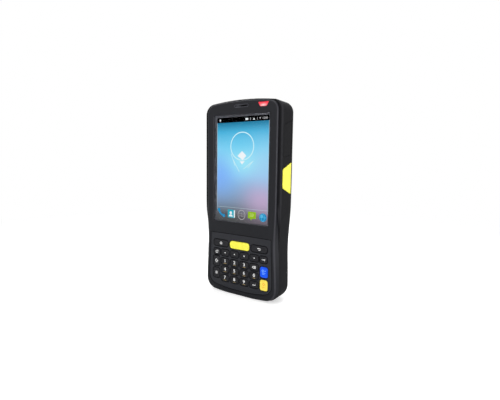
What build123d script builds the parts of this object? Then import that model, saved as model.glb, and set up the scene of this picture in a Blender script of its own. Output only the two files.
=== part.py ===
from build123d import *
from math import hypot, sqrt
import os

os.makedirs("parts", exist_ok=True)

# The terminal stands upright: X to the right seen from the front, Y from the screen to the back,
# Z up. The origin is under the middle of the casing. All sizes are in millimetres.

# ---- clearances ----
cut_past = 1.0  # how far a cut starts and ends outside what it cuts
stack_gap = 0.05  # between rigid layers
film_gap = 0.02  # between films, domes and boards
running_gap = 0.1  # between pieces that slide past or sit close to each other

# ---- casing ----
body_height = 164.0
front_y = -13.0  # front face of the bezel
back_y = 13.0  # back face, in the upper part
body_half = 37.4  # half width beside the screen
waist_half = 35.8
palm_half = 36.8
straight_end_z = body_height - 82.0  # where the straight sides start to curve in
waist_z = 46.0
top_arc = 226.0
top_corner = 9.0
bottom_arc = 260.0
bottom_corner = 10.5
foot_drop = 0.35  # how much of the bottom arc the flat foot takes off
wall = 1.8
rear_edge_radius = 8.0
smallest_corner = 0.4
back_facing = 0.9  # a face whose normal points this far along +Y is the back
taper_start_z = body_height - 64.0  # below this the back curves forward
taper_depth = 1.4

# ---- front housing ----
front_half = body_half - 3.2
front_waist_half = waist_half - 3.5
front_waist_z = 48.0
front_palm_half = palm_half - 2.6
skirt_gap = 0.2  # how far its rim stays inside the body at the waist and the palm
front_margin = 1.0  # how far it stays below the top of the body
front_foot_margin = 0.2  # how far it stays above the bottom of the body
front_edge_radius = 1.5
front_wall = 1.6
parting_y = -9.5
parting_gap = 0.2
groove = 0.4  # between front housing and the shoulders beside it
shoulder_y = -11.6
shoulder_radius = 1.6
shoulder_start_z = body_height - 106.0
shoulder_full_z = body_height - 80.0
tongue_inset = 2.0
tongue_wall = 1.0
tongue_length = 2.2

# ---- screen ----
screen_top = 12.0  # from the top of the casing down to the window
screen_side = 7.0  # from the front housing's side to the window
screen_bottom = 10.2  # from the keypad panel up to the window
window_chamfer = 0.4
lip = 0.7
window_corner = 1.0
gasket_thickness = 0.25
gasket_margin = 1.0
glass_side = 2.8  # how far the glass reaches past the window
glass_end = 3.0
glass_thickness = 0.9
glass_corner = 2.0
glass_gap = 0.3
display_gap = 0.15
lcd_side = 0.9  # how far the display reaches past the window
lcd_end = 1.1
lcd_thickness = 1.9
tray_wall = 0.7
tray_gap = 0.15
tray_depth = 3.4

# ---- keypad ----
panel_top_z = 52.8
panel_bottom_z = 4.2
panel_half_top = front_waist_half - 1.7
panel_half_mid = front_waist_half - 1.1
panel_mid_z = 34.0
panel_half_low = front_palm_half - 2.3
panel_bottom_arc = 143.0
panel_corner = 8.5
panel_top_arc = 3300.0  # all but straight
panel_top_corner = 1.0
panel_top_straight = 2.0
panel_sink = 0.35
panel_thickness = 1.45
panel_gap = 0.15
panel_ledge = 1.2
ledge_frame = 1.2
mat_inset = 1.6
ledge_thickness = 1.0
key_gap = 0.3
key_travel = 0.5
key_flange = 0.55
flange_thickness = 0.6
key_edge = 0.35
key_face = 0.05  # how far the dark keys stay behind the bezel's face
key_clearance = 0.15
mat_thickness = 1.0
dome_height = 0.3
dome_radius = 2.4
dome_taper = 30.0
board_thickness = 1.0

column_pitch = panel_half_top / 3 - 0.3
column_inner = column_pitch / 2
column_outer = 3 * column_inner
column_edge = panel_half_top - 6.4
edge_key_x = column_edge - 0.6
row_zs = (43.5, 35.4, 27.7, 20.4, 12.9)
wide_key_x = 2 * column_pitch - 0.5
small_key = (column_pitch - 1.7, 5.6, 1.7)  # width, height, corner
edge_key = (column_pitch - 3.0, 5.6, 1.7)
wide_key = (2 * column_pitch - 4.4, 5.6, 2.2)
centre_key = (2 * column_pitch - 0.3, 6.5, 2.4)
tall_key = (column_pitch - 2.8, 8.9, 1.8)
left_tall_zs = (27.0, 16.4)
right_tall_zs = (25.0, 14.1)

# ---- inside ----
chassis_inset = 1.9
chassis_thickness = 1.2
chassis_side = 14.4  # how much narrower its opening is than the window
chassis_end = 27.0
chassis_window_corner = 3.0
chassis_boss_radius = 2.6
chassis_boss_end_y = 1.0
rear_boss_radius = 3.2
boss_gap = 0.2
standoff_radius = 2.0
standoff_x = 22.0
standoff_zs = (28.0, body_height - 86.0, body_height - 32.0)
rib_x = body_half - 6.4
rib_thickness = 1.2
rib_length = 26.0
screw_radius = 1.0
screw_clearance = 0.1
thread_gap = 0.05
screw_slot = 0.5
screw_slot_length = 1.5
screw_slot_depth = 0.8
screw_tip_room = 0.5
screw_head_radius = 1.9
screw_head_height = 1.3
screw_head_y = 9.6
screw_tip_y = -3.0
screw_top = (body_half - 10.4, body_height - 7.0)
screw_bottom = (palm_half - 11.8, 12.0)
main_board_half = body_half - 10.4
main_board_bottom_z = 16.5
main_board_top_z = body_height - 24.0
main_board_y = -4.9
main_board_corner = 2.0
can_height = 1.4
can_wall = 0.25
can_corner = 1.0
can_places = (  # x, z, width, height
    (-12.5, main_board_top_z - 42.0, 24.0, 28.0),
    (14.0, main_board_top_z - 42.0, 22.0, 28.0),
    (-12.0, main_board_top_z - 15.0, 20.0, 18.0),
    (12.5, main_board_top_z - 16.0, 18.0, 16.0),
)
card_size = (15.5, 15.0)
card_corner = 0.6
card_z = main_board_top_z - 74.0

# ---- battery ----
cover_side = 9.4  # from the body's side to the cover
cover_top_z = body_height - 52.0
cover_bottom_z = 34.0
cover_corner = 6.0
cover_gap = 0.25
bay_wall = 1.2
bay_floor_y = -1.6
cell_side = 2.0  # from the cover's side to the cell
cell_top_room = 6.0  # below the cover's top end
cell_bottom_room = 2.0
cell_thickness = 9.8
cell_corner = 3.0
cell_edge = 1.0
cell_room = 0.6  # above the bay floor, where the contacts press
contact_z = cover_bottom_z + 8.0
contact_slot = (14.0, 8.0)
blade_pitch = 3.0
blade_count = 4
blade_size = (1.6, 5.0)
blade_corner = 0.4
latch_width = 16.0
latch_height = 13.0
latch_thickness = 1.0
latch_travel = 3.0
nub_width = 12.0
nub_height = 4.0
nub_corner = 1.2
nub_sink = 0.3
nub_margin = 1.0
grip_pitch = 1.0
grip_count = 3
grip_depth = 0.3
slide_gap = 0.3

# ---- side keys, port and top ----
scan_key_z = body_height - 63.0
scan_key_front_y = -8.9
scan_key_rear_y = 4.8
scan_key_long = 25.0
scan_key_short = 14.6
side_proud = 0.35
side_gap = 0.3
side_travel = 0.8
side_flange = 0.5
side_flange_thickness = 0.8
side_switch_y = 1.5
nub_radius = 1.5
nub_length = 0.9
switch_size = (3.4, 6.0)
switch_corner = 0.5
switch_gap = 0.1
rocker_z = body_height - 29.0
rocker_y = -2.0
rocker_length = 22.0
rocker_width = 5.0
rocker_corner = 2.1
rocker_depth = 3.0
rocker_switch_z = 7.0
rocker_switch_gap = 0.6
port_z = body_height - 32.0
port_y = -2.2
port_opening = (4.4, 10.4)
port_corner = 1.9
usb_size = (9.5, 3.2, 9.0)
usb_wall = 0.35
usb_corner = 1.4
usb_gap = 0.2
usb_depth = 6.5
usb_tongue = (0.7, 6.6)
flap_front_y = -8.5
flap_rear_y = 4.0
flap_thickness = 1.0
flap_half_front = 12.2
flap_half_rear = 13.3
flap_front_z = port_z - 2.2
flap_rear_z = port_z + 1.2
flap_corner = 1.5
flap_seat = 0.1
flap_gap = 0.25
flap_knuckle_room = 0.8
top_window_width = 34.0
top_window_depth = 12.0
top_window_thickness = 1.5
top_window_corner = 2.0
top_window_y = 0.5
top_window_z = body_height - 2.4
window_frame = 2.0
window_frame_z = top_window_z - 2.0
pane_gap = 0.15
pane_seat = 1.8
pane_edge = 0.2
engine_y = 0.0
engine_recess = 1.0
engine_size = (24.0, 11.8, 14.4)
engine_corner = 0.8
engine_lens_x = -4.8
engine_lens_radius = 2.9
engine_lamp_x = 6.0
engine_lamp = (6.0, 5.9)
engine_top_z = window_frame_z - 1.2

# ---- lens, ear and back ----
lens_x = 21.3
lens_top_z = body_height - 3.8
lens_bottom_z = lens_top_z - 3.4
lens_half_top = 5.0
lens_half_bottom = 2.9
lens_corner = 0.4
lens_depth = 2.4
lens_gap = 0.1
lens_edge = 0.2
ear_x = 0.7
ear_z = body_height - 5.5
ear_slot = (13.0, 1.8)
mesh_sink = 0.8
mesh_size = (14.4, 2.6)
mesh_thickness = 0.3
mesh_pitch = 0.8
mesh_hole_radius = 0.24
mesh_holes = (17, 3)
receiver_size = (12.0, 2.4, 4.4)
receiver_corner = 1.2
receiver_gap = 0.3  # below the front housing's tongue
camera_x = -19.0
camera_z = body_height - 24.0
camera_radius = 5.0
camera_rim = 0.8
camera_sink = 0.1
camera_seat = 1.1
camera_block = (9.0, 6.0)
camera_block_corner = 0.6
camera_barrel_gap = 0.4
flash_z = camera_z - 11.5
flash_radius = 2.0
speaker_x = 18.0
speaker_z = body_height - 26.0
speaker_size = (18.0, 4.0, 12.0)
speaker_corner = 2.0
slot_pitch = 2.6
slot_count = 4
slot_size = (12.0, 1.2)
contact_count = 5
contact_pitch = 3.2
contact_size = (1.6, 3.0)
contact_y = -2.5
contact_gap = 0.1
contact_sink = 0.15
scan_key_corner = 2.4

# ---- worked out from the sizes above ----
body_form = dict(
    top=body_height, bottom=0.0, upper=body_half, upper_z=straight_end_z,
    waist=waist_half, waist_z=waist_z, lower=palm_half, top_arc=top_arc,
    top_corner=top_corner, bottom_arc=bottom_arc, bottom_corner=bottom_corner,
)
front_form = dict(
    body_form, top=body_height - front_margin, bottom=front_foot_margin, upper=front_half,
    waist=front_waist_half, waist_z=front_waist_z, lower=front_palm_half,
    top_arc=top_arc - front_margin, top_corner=top_corner - front_margin,
    bottom_arc=bottom_arc - front_foot_margin, bottom_corner=bottom_corner - front_foot_margin,
)
skirt_form = dict(  # the front housing where it meets the rear one
    front_form, waist=waist_half - skirt_gap, waist_z=waist_z, lower=palm_half - skirt_gap,
)
panel_form = dict(
    top=panel_top_z, bottom=panel_bottom_z, upper=panel_half_top, upper_z=panel_top_z - panel_top_straight,
    waist=panel_half_mid, waist_z=panel_mid_z, lower=panel_half_low, top_arc=panel_top_arc,
    top_corner=panel_top_corner, bottom_arc=panel_bottom_arc, bottom_corner=panel_corner,
)
window_width = 2 * (front_half - screen_side)
window_height = body_height - screen_top - screen_bottom - panel_top_z
screen_z = panel_top_z + screen_bottom + window_height / 2
glass_width, glass_height = window_width + 2 * glass_side, window_height + 2 * glass_end
lcd_width, lcd_height = window_width + 2 * lcd_side, window_height + 2 * lcd_end
chassis_window = (window_width - chassis_side, window_height - chassis_end)
cover_width, cover_height = 2 * (body_half - cover_side), cover_top_z - cover_bottom_z
cover_z = (cover_top_z + cover_bottom_z) / 2
cell_width = cover_width - 2 * cell_side
cell_height = cover_height - cell_top_room - cell_bottom_room
cell_z = cover_bottom_z + cell_bottom_room + cell_height / 2
inner_back_y = back_y - wall
glass_y = front_y + lip + gasket_thickness
tray_y = glass_y + glass_thickness + display_gap
tongue_end_y = parting_y + tongue_length - parting_gap
chassis_y = tray_y + tray_depth + display_gap + stack_gap
chassis_end_y = chassis_y + chassis_thickness
panel_y = front_y + panel_sink
panel_end_y = panel_y + panel_thickness
flange_y = panel_end_y + stack_gap
mat_y = flange_y + flange_thickness + key_travel + key_clearance
dome_y = mat_y + mat_thickness + film_gap
board_y = dome_y + dome_height + film_gap
bay_y = bay_floor_y + bay_wall
cell_y = bay_y + cell_room
latch_y = inner_back_y - running_gap - latch_thickness
latch_top_z = cover_top_z - slide_gap
latch_bottom_z = latch_top_z - latch_height
nub_z = latch_bottom_z + nub_height / 2 + nub_margin
wall_inner_x = body_half - wall
bay_half = cover_width / 2 + cover_gap
bay_outer_half = bay_half + bay_wall
flange_x = wall_inner_x - running_gap
nub_end_x = flange_x - side_flange_thickness - nub_length
switch_x = nub_end_x - side_travel - switch_gap
rocker_switch_x = body_half + side_proud - rocker_depth - rocker_switch_gap
bay_height = cover_height + 2 * cover_gap
bay_top_z = cover_top_z + cover_gap
rear_boss_y = chassis_boss_end_y + boss_gap
screw_places = [(side * x, z) for side in (-1, 1) for x, z in (screw_top, screw_bottom)]
standoff_places = [(side * standoff_x, z) for side in (-1, 1) for z in standoff_zs]
camera_seat_y = back_y - camera_seat
mesh_y = front_y + mesh_sink
tongue_top_z = body_height - front_margin - tongue_inset - tongue_wall
receiver_z = tongue_top_z - receiver_gap - receiver_size[2] / 2
can_y = main_board_y + board_thickness + stack_gap
usb_end_x = wall_inner_x - usb_gap

keys = {
    "key_home": (-wide_key_x, row_zs[0], wide_key, key_face),
    "key_scan": (0.0, row_zs[0], centre_key, 0.0),
    "key_back": (wide_key_x, row_zs[0], wide_key, key_face),
    "key_escape": (-edge_key_x, row_zs[1], edge_key, key_face),
    "key_left": (-column_outer, row_zs[1], small_key, key_face),
    "key_up": (-column_inner, row_zs[1], small_key, key_face),
    "key_down": (column_inner, row_zs[1], small_key, key_face),
    "key_right": (column_outer, row_zs[1], small_key, key_face),
    "key_tab": (edge_key_x, row_zs[1], edge_key, key_face),
    "key_shift": (-column_edge, left_tall_zs[0], tall_key, key_face),
    "key_symbol": (-column_edge, left_tall_zs[1], tall_key, key_face),
    "key_1": (-column_outer, row_zs[2], small_key, key_face),
    "key_2": (-column_inner, row_zs[2], small_key, key_face),
    "key_3": (column_inner, row_zs[2], small_key, key_face),
    "key_backspace": (column_outer, row_zs[2], small_key, key_face),
    "key_4": (-column_outer, row_zs[3], small_key, key_face),
    "key_5": (-column_inner, row_zs[3], small_key, key_face),
    "key_6": (column_inner, row_zs[3], small_key, key_face),
    "key_0": (column_outer, row_zs[3], small_key, key_face),
    "key_7": (-column_outer, row_zs[4], small_key, key_face),
    "key_8": (-column_inner, row_zs[4], small_key, key_face),
    "key_9": (column_inner, row_zs[4], small_key, key_face),
    "key_enter": (column_outer, row_zs[4], small_key, key_face),
    "key_function_blue": (column_edge, right_tall_zs[0], tall_key, 0.0),
    "key_function_orange": (column_edge, right_tall_zs[1], tall_key, 0.0),
}


def facing(y):
    """The front view at depth y: X to the right, Z up."""
    return Plane.XZ.offset(-y)


def outline(form, inset=0.0):
    """Draws a closed casing outline in the front view, with every side moved in by inset."""
    top_radius = form["top_arc"] - inset
    top_small = max(form["top_corner"] - inset, smallest_corner)
    low_radius = form["bottom_arc"] - inset
    low_small = max(form["bottom_corner"] - inset, smallest_corner)
    upper, lower = form["upper"] - inset, form["lower"] - inset
    top_middle = form["top"] - form["top_arc"]
    low_middle = form["bottom"] - foot_drop + form["bottom_arc"]
    foot_z = form["bottom"] + inset
    foot_half = sqrt(low_radius**2 - (low_middle - foot_z) ** 2)
    top_reach, low_reach = upper - top_small, lower - low_small
    top_rise = sqrt((top_radius - top_small) ** 2 - top_reach**2)
    low_fall = sqrt((low_radius - low_small) ** 2 - low_reach**2)
    top_angle = (top_reach / (top_radius - top_small), top_rise / (top_radius - top_small))
    low_angle = (low_reach / (low_radius - low_small), -low_fall / (low_radius - low_small))
    top_join = (top_radius * top_angle[0], top_middle + top_radius * top_angle[1])
    low_join = (low_radius * low_angle[0], low_middle + low_radius * low_angle[1])
    top_corner_z, low_corner_z = top_middle + top_rise, low_middle - low_fall
    top_mid = halfway(top_reach, top_corner_z, top_small, (1.0, 0.0), top_angle)
    low_mid = halfway(low_reach, low_corner_z, low_small, (1.0, 0.0), low_angle)
    foot_turn = halfway(0.0, low_middle, low_radius, low_angle, (foot_half, foot_z - low_middle))
    with BuildLine() as edge_line:
        ThreePointArc((-top_join[0], top_join[1]), (0, form["top"] - inset), top_join)
        for side in (-1, 1):
            ThreePointArc(
                (side * top_join[0], top_join[1]),
                (side * top_mid[0], top_mid[1]),
                (side * upper, top_corner_z),
            )
            Line((side * upper, top_corner_z), (side * upper, form["upper_z"]))
            Spline(
                (side * upper, form["upper_z"]),
                (side * (form["waist"] - inset), form["waist_z"]),
                (side * lower, low_corner_z),
                tangents=[(0, -1), (0, -1)],
            )
            ThreePointArc(
                (side * lower, low_corner_z),
                (side * low_mid[0], low_mid[1]),
                (side * low_join[0], low_join[1]),
            )
            ThreePointArc(
                (side * low_join[0], low_join[1]),
                (side * foot_turn[0], foot_turn[1]),
                (side * foot_half, foot_z),
            )
        Line((-foot_half, foot_z), (foot_half, foot_z))
    make_face(edge_line.edges())


def halfway(x, z, radius, start, end):
    """The point on a circle about (x, z) halfway between two directions from its middle."""
    start_length, end_length = hypot(*start), hypot(*end)
    across = start[0] / start_length + end[0] / end_length
    up = start[1] / start_length + end[1] / end_length
    length = hypot(across, up)
    return (x + radius * across / length, z + radius * up / length)


def casing_blank(inset, start_y):
    """The whole casing as a block from start_y to its curved back, moved in by inset."""
    end_y = back_y - inset
    with BuildPart() as blank:
        with BuildSketch(facing(start_y)):
            outline(body_form, inset)
        extrude(amount=-(end_y - start_y))
        with BuildSketch(Plane.YZ):
            with BuildLine():
                ThreePointArc(
                    (end_y - taper_depth, 0),
                    (end_y - taper_depth / 4, taper_start_z / 2),
                    (end_y, taper_start_z),
                )
                Polyline(
                    (end_y, taper_start_z),
                    (end_y + cut_past, taper_start_z),
                    (end_y + cut_past, -cut_past),
                    (end_y - taper_depth, -cut_past),
                    (end_y - taper_depth, 0),
                )
            make_face()
        extrude(amount=body_half + cut_past, both=True, mode=Mode.SUBTRACT)
        rear = blank.faces().filter_by(lambda face: face.normal_at().Y > back_facing)
        rims = [edge for edge in rear.edges() if edge not in shared_edges(rear)]
        fillet(rims, radius=rear_edge_radius - inset)
    return blank.part


def shared_edges(faces):
    """The edges that belong to two of the faces."""
    edges = [edge for face in faces for edge in face.edges()]
    return [edge for edge in edges if sum(edge.is_same(other) for other in edges) > 1]


def rounded_face(points, corner, grow, rounded=4):
    """A polygon with its first corners along X rounded, and every side moved out by grow."""
    with BuildSketch(Plane.XY, mode=Mode.PRIVATE) as face:
        Polygon(*points, align=None)
        fillet(face.vertices().sort_by(Axis.X)[:rounded], radius=corner)
        if grow:
            offset(amount=grow)
    return face.sketch


def scan_key_face(grow):
    """The scan key from the side: a trapezium with its long side towards the back, rounded in front."""
    points = [
        (scan_key_front_y, scan_key_z - scan_key_short / 2),
        (scan_key_rear_y, scan_key_z - scan_key_long / 2),
        (scan_key_rear_y, scan_key_z + scan_key_long / 2),
        (scan_key_front_y, scan_key_z + scan_key_short / 2),
    ]
    return rounded_face(points, scan_key_corner, grow, rounded=2)


def flap_face(grow):
    """The port cover from the side, with slanted ends and its front corners rounded."""
    points = [
        (flap_front_y, flap_front_z - flap_half_front),
        (flap_rear_y, flap_rear_z - flap_half_rear),
        (flap_rear_y, flap_rear_z + flap_half_rear),
        (flap_front_y, flap_front_z + flap_half_front),
    ]
    return rounded_face(points, flap_corner, grow, rounded=2)


def lens_face(grow):
    """The indicator from the front: a trapezium with its long side on top."""
    points = [
        (lens_x - lens_half_bottom, lens_bottom_z),
        (lens_x + lens_half_bottom, lens_bottom_z),
        (lens_x + lens_half_top, lens_top_z),
        (lens_x - lens_half_top, lens_top_z),
    ]
    return rounded_face(points, lens_corner, grow)


# ======================= casing =======================

casing = casing_blank(0.0, shoulder_y)
cavity = casing_blank(wall, parting_y)

with BuildPart() as rear_housing:
    add(casing)
    front_rim = rear_housing.faces().sort_by(Axis.Y)[0].edges()
    fillet(front_rim, radius=shoulder_radius)
    # The shoulders beside the screen sweep back to the parting line at the keypad.
    with BuildSketch(Plane.YZ):
        with BuildLine():
            Spline(
                (parting_y, shoulder_start_z),
                (shoulder_y, shoulder_full_z),
                tangents=[(0, 1), (0, 1)],
            )
            Polyline(
                (shoulder_y, shoulder_full_z),
                (front_y - cut_past, shoulder_full_z),
                (front_y - cut_past, -cut_past),
                (parting_y, -cut_past),
                (parting_y, shoulder_start_z),
            )
        make_face()
    extrude(amount=body_half + cut_past, both=True, mode=Mode.SUBTRACT)
    # Room for the front housing, and the hollow inside.
    with BuildSketch(facing(front_y - cut_past)):
        outline(skirt_form, -groove)
    extrude(amount=-(parting_y - front_y + cut_past), mode=Mode.SUBTRACT)
    add(cavity, mode=Mode.SUBTRACT)
    # Battery bay: a box open to the back, with a floor towards the boards.
    with BuildSketch(facing(bay_floor_y)):
        with Locations((0, cover_z)):
            RectangleRounded(2 * bay_outer_half, bay_height + 2 * bay_wall, cover_corner + bay_wall)
    extrude(amount=-(inner_back_y - taper_depth - bay_floor_y))
    # Screw bosses in the four corners.
    with BuildSketch(facing(rear_boss_y)):
        with Locations(*screw_places):
            Circle(rear_boss_radius)
    extrude(amount=-(back_y - rear_boss_y))
    # Frame of the scanner window in the top end.
    with BuildSketch(Plane.XY.offset(window_frame_z)):
        with Locations((0, top_window_y)):
            RectangleRounded(
                top_window_width + 2 * window_frame, top_window_depth + 2 * window_frame, top_window_corner
            )
    extrude(amount=body_height - window_frame_z)
    add(casing, mode=Mode.INTERSECT)
    # The bay's hollow, the tongue slot above it and the slot for the contacts in its floor.
    with BuildSketch(facing(bay_y)):
        with Locations((0, cover_z)):
            RectangleRounded(2 * bay_half, bay_height, cover_corner)
    extrude(amount=-(back_y + cut_past - bay_y), mode=Mode.SUBTRACT)
    with BuildSketch(facing(latch_y - slide_gap)):
        with Locations((0, bay_top_z)):
            Rectangle(latch_width + 2 * slide_gap, 2 * (latch_travel + slide_gap))
    extrude(amount=-(latch_thickness + 2 * slide_gap), mode=Mode.SUBTRACT)
    with BuildSketch(facing(bay_floor_y)):
        with Locations((0, contact_z)):
            Rectangle(contact_slot[0], contact_slot[1])
    extrude(amount=-bay_wall, mode=Mode.SUBTRACT)
    # Screw holes with sunk seats for the heads.
    with BuildSketch(facing(rear_boss_y - cut_past)):
        with Locations(*screw_places):
            Circle(screw_radius + screw_clearance)
    extrude(amount=-(back_y - rear_boss_y + 2 * cut_past), mode=Mode.SUBTRACT)
    with BuildSketch(facing(screw_head_y)):
        with Locations(*screw_places):
            Circle(screw_head_radius + screw_clearance)
    extrude(amount=-(back_y + cut_past - screw_head_y), mode=Mode.SUBTRACT)
    # Scanner window: a seat for the pane and the light's way below it.
    with BuildSketch(Plane.XY.offset(top_window_z)):
        with Locations((0, top_window_y)):
            RectangleRounded(
                top_window_width + 2 * pane_gap, top_window_depth + 2 * pane_gap, top_window_corner
            )
    extrude(amount=body_height, mode=Mode.SUBTRACT)
    with BuildSketch(Plane.XY.offset(window_frame_z)):
        with Locations((0, top_window_y)):
            Rectangle(top_window_width - 2 * pane_seat, top_window_depth - 2 * pane_seat)
    extrude(amount=body_height, mode=Mode.SUBTRACT)
    # Side openings: scan keys on both sides, rocker on the left, port and its flap on the right.
    for side in (-1, 1):
        with BuildSketch(Plane.YZ.offset(side * (wall_inner_x - cut_past))):
            add(scan_key_face(side_gap))
        extrude(amount=side * (wall + 2 * cut_past), mode=Mode.SUBTRACT)
    with BuildSketch(Plane.YZ.offset(-wall_inner_x + cut_past)):
        with Locations((rocker_y, rocker_z)):
            RectangleRounded(
                rocker_width + 2 * side_gap, rocker_length + 2 * side_gap, rocker_corner + side_gap
            )
    extrude(amount=-(wall + 2 * cut_past), mode=Mode.SUBTRACT)
    with BuildSketch(Plane.YZ.offset(body_half - flap_thickness - flap_seat)):
        add(flap_face(flap_gap))
        with Locations((flap_rear_y, flap_rear_z)):
            Rectangle(2 * flap_knuckle_room, 2 * (flap_half_rear + flap_gap))
    extrude(amount=flap_thickness + cut_past, mode=Mode.SUBTRACT)
    with BuildSketch(Plane.YZ.offset(wall_inner_x - cut_past)):
        with Locations((port_y, port_z)):
            RectangleRounded(port_opening[0], port_opening[1], port_corner)
    extrude(amount=wall + 2 * cut_past, mode=Mode.SUBTRACT)
    # Back: camera and flash windows with their seats, and the loudspeaker slots.
    with BuildSketch(facing(camera_seat_y)):
        with Locations((camera_x, camera_z)):
            Circle(camera_radius + pane_gap)
        with Locations((camera_x, flash_z)):
            Circle(flash_radius + pane_gap)
    extrude(amount=-(back_y + cut_past - camera_seat_y), mode=Mode.SUBTRACT)
    with BuildSketch(facing(inner_back_y - cut_past)):
        with Locations((camera_x, camera_z)):
            Circle(camera_radius - camera_rim)
        with Locations((camera_x, flash_z)):
            Circle(flash_radius - camera_rim / 2)
        with Locations((speaker_x, speaker_z)):
            with GridLocations(0, slot_pitch, 1, slot_count):
                SlotOverall(slot_size[0], slot_size[1])
    extrude(amount=-(wall + 2 * cut_past), mode=Mode.SUBTRACT)
    # Bottom end: holes for the charging contacts.
    with BuildSketch(Plane.XY.offset(-cut_past)):
        with Locations((0, contact_y)):
            with GridLocations(contact_pitch, 0, contact_count, 1):
                Rectangle(contact_size[0] + 2 * contact_gap, contact_size[1] + 2 * contact_gap)
    extrude(amount=wall + 2 * cut_past, mode=Mode.SUBTRACT)
rear_housing.part.label = "rear_housing"
export_step(rear_housing.part, "parts/rear_housing.step")

with BuildPart() as front_housing:
    # Its sides lean outwards beside the keypad, from the face to the rim.
    with BuildSketch(facing(front_y)):
        outline(front_form)
    with BuildSketch(facing(parting_y - parting_gap)):
        outline(skirt_form)
    loft(ruled=True)
    fillet(front_housing.faces().sort_by(Axis.Y)[0].edges(), radius=front_edge_radius)
    with BuildSketch(facing(front_y + front_wall)):
        outline(skirt_form, tongue_inset)
    extrude(amount=-(tongue_end_y - front_y - front_wall))
    with BuildSketch(facing(front_y + front_wall)):
        outline(skirt_form, tongue_inset + tongue_wall)
    extrude(amount=-(tongue_end_y - front_y), mode=Mode.SUBTRACT)
    # A frame behind the keypad opening carries the panel.
    with BuildSketch(facing(front_y + front_wall / 2)):
        outline(panel_form, -ledge_frame)
    extrude(amount=-(panel_end_y + ledge_thickness - front_y - front_wall / 2))
    with BuildSketch(facing(front_y - cut_past)):
        outline(panel_form, -panel_gap)
    extrude(amount=-(panel_end_y - front_y + cut_past), mode=Mode.SUBTRACT)
    with BuildSketch(facing(front_y - cut_past)):
        outline(panel_form, panel_ledge)
    extrude(amount=-(tongue_end_y - front_y + 2 * cut_past), mode=Mode.SUBTRACT)
    # Screen window with its rim, and the seat for the glass behind it.
    with BuildSketch(facing(front_y - cut_past)):
        with Locations((0, screen_z)):
            RectangleRounded(window_width, window_height, window_corner)
    extrude(amount=-(front_wall + 2 * cut_past), mode=Mode.SUBTRACT)
    window_rim = front_housing.faces().sort_by(Axis.Y)[0].inner_wires().edges()
    chamfer(window_rim.filter_by(lambda edge: edge.center().Z > panel_top_z + cut_past), window_chamfer)
    with BuildSketch(facing(front_y + lip)):
        with Locations((0, screen_z)):
            RectangleRounded(
                glass_width + 2 * glass_gap, glass_height + 2 * glass_gap, glass_corner + glass_gap
            )
    extrude(amount=-(front_wall + cut_past), mode=Mode.SUBTRACT)
    # Ear slot with a seat for its mesh, and the window of the indicator.
    with BuildSketch(facing(front_y - cut_past)):
        with Locations((ear_x, ear_z)):
            SlotOverall(ear_slot[0], ear_slot[1])
    extrude(amount=-(front_wall + cut_past), mode=Mode.SUBTRACT)
    with BuildSketch(facing(mesh_y)):
        with Locations((ear_x, ear_z)):
            Rectangle(mesh_size[0] + 2 * pane_gap, mesh_size[1] + 2 * pane_gap)
    extrude(amount=-(front_y + front_wall - mesh_y + cut_past), mode=Mode.SUBTRACT)
    with BuildSketch(facing(front_y - cut_past)):
        add(lens_face(lens_gap))
    extrude(amount=-(lens_depth + lens_gap + cut_past), mode=Mode.SUBTRACT)
front_housing.part.label = "front_housing"
export_step(front_housing.part, "parts/front_housing.step")

# ======================= screen =======================

with BuildPart() as touch_glass:
    with BuildSketch(facing(glass_y)):
        with Locations((0, screen_z)):
            RectangleRounded(glass_width, glass_height, glass_corner)
    extrude(amount=-glass_thickness)
touch_glass.part.label = "touch_glass"
export_step(touch_glass.part, "parts/touch_glass.step")

with BuildPart() as screen_gasket:
    with BuildSketch(facing(front_y + lip)):
        with Locations((0, screen_z)):
            RectangleRounded(glass_width, glass_height, glass_corner)
            RectangleRounded(
                window_width + 2 * gasket_margin,
                window_height + 2 * gasket_margin,
                glass_corner - gasket_margin,
                mode=Mode.SUBTRACT,
            )
    extrude(amount=-gasket_thickness)
screen_gasket.part.label = "screen_gasket"
export_step(screen_gasket.part, "parts/screen_gasket.step")

with BuildPart() as lcd_panel:
    with BuildSketch(facing(tray_y)):
        with Locations((0, screen_z)):
            Rectangle(lcd_width, lcd_height)
    extrude(amount=-lcd_thickness)
    chamfer(lcd_panel.edges().filter_by(Axis.Y), tray_gap)
lcd_panel.part.label = "lcd_panel"
export_step(lcd_panel.part, "parts/lcd_panel.step")

with BuildPart() as lcd_frame:
    with BuildSketch(facing(tray_y)):
        with Locations((0, screen_z)):
            RectangleRounded(
                lcd_width + 2 * (tray_gap + tray_wall), lcd_height + 2 * (tray_gap + tray_wall), tray_wall
            )
    extrude(amount=-tray_depth)
    with BuildSketch(facing(tray_y)):
        with Locations((0, screen_z)):
            Rectangle(lcd_width + 2 * tray_gap, lcd_height + 2 * tray_gap)
    extrude(amount=-(lcd_thickness + stack_gap), mode=Mode.SUBTRACT)
lcd_frame.part.label = "lcd_frame"
export_step(lcd_frame.part, "parts/lcd_frame.step")

# ======================= keypad =======================

with BuildPart() as keypad_panel:
    with BuildSketch(facing(panel_y)):
        outline(panel_form)
        for x, z, (width, height, corner), face in keys.values():
            with Locations((x, z)):
                RectangleRounded(
                    width + 2 * key_gap, height + 2 * key_gap, corner + key_gap, mode=Mode.SUBTRACT
                )
    extrude(amount=-panel_thickness)
keypad_panel.part.label = "keypad_panel"
export_step(keypad_panel.part, "parts/keypad_panel.step")

for name, (x, z, (width, height, corner), face) in keys.items():
    with BuildPart() as key:
        with BuildSketch(facing(front_y + face)):
            with Locations((x, z)):
                RectangleRounded(width, height, corner)
        extrude(amount=-(flange_y + flange_thickness - front_y - face))
        fillet(key.faces().sort_by(Axis.Y)[0].edges(), radius=key_edge)
        with BuildSketch(facing(flange_y)):
            with Locations((x, z)):
                RectangleRounded(width + 2 * key_flange, height + 2 * key_flange, corner + key_flange)
        extrude(amount=-flange_thickness)
    key.part.label = name
    export_step(key.part, f"parts/{name}.step")

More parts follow.
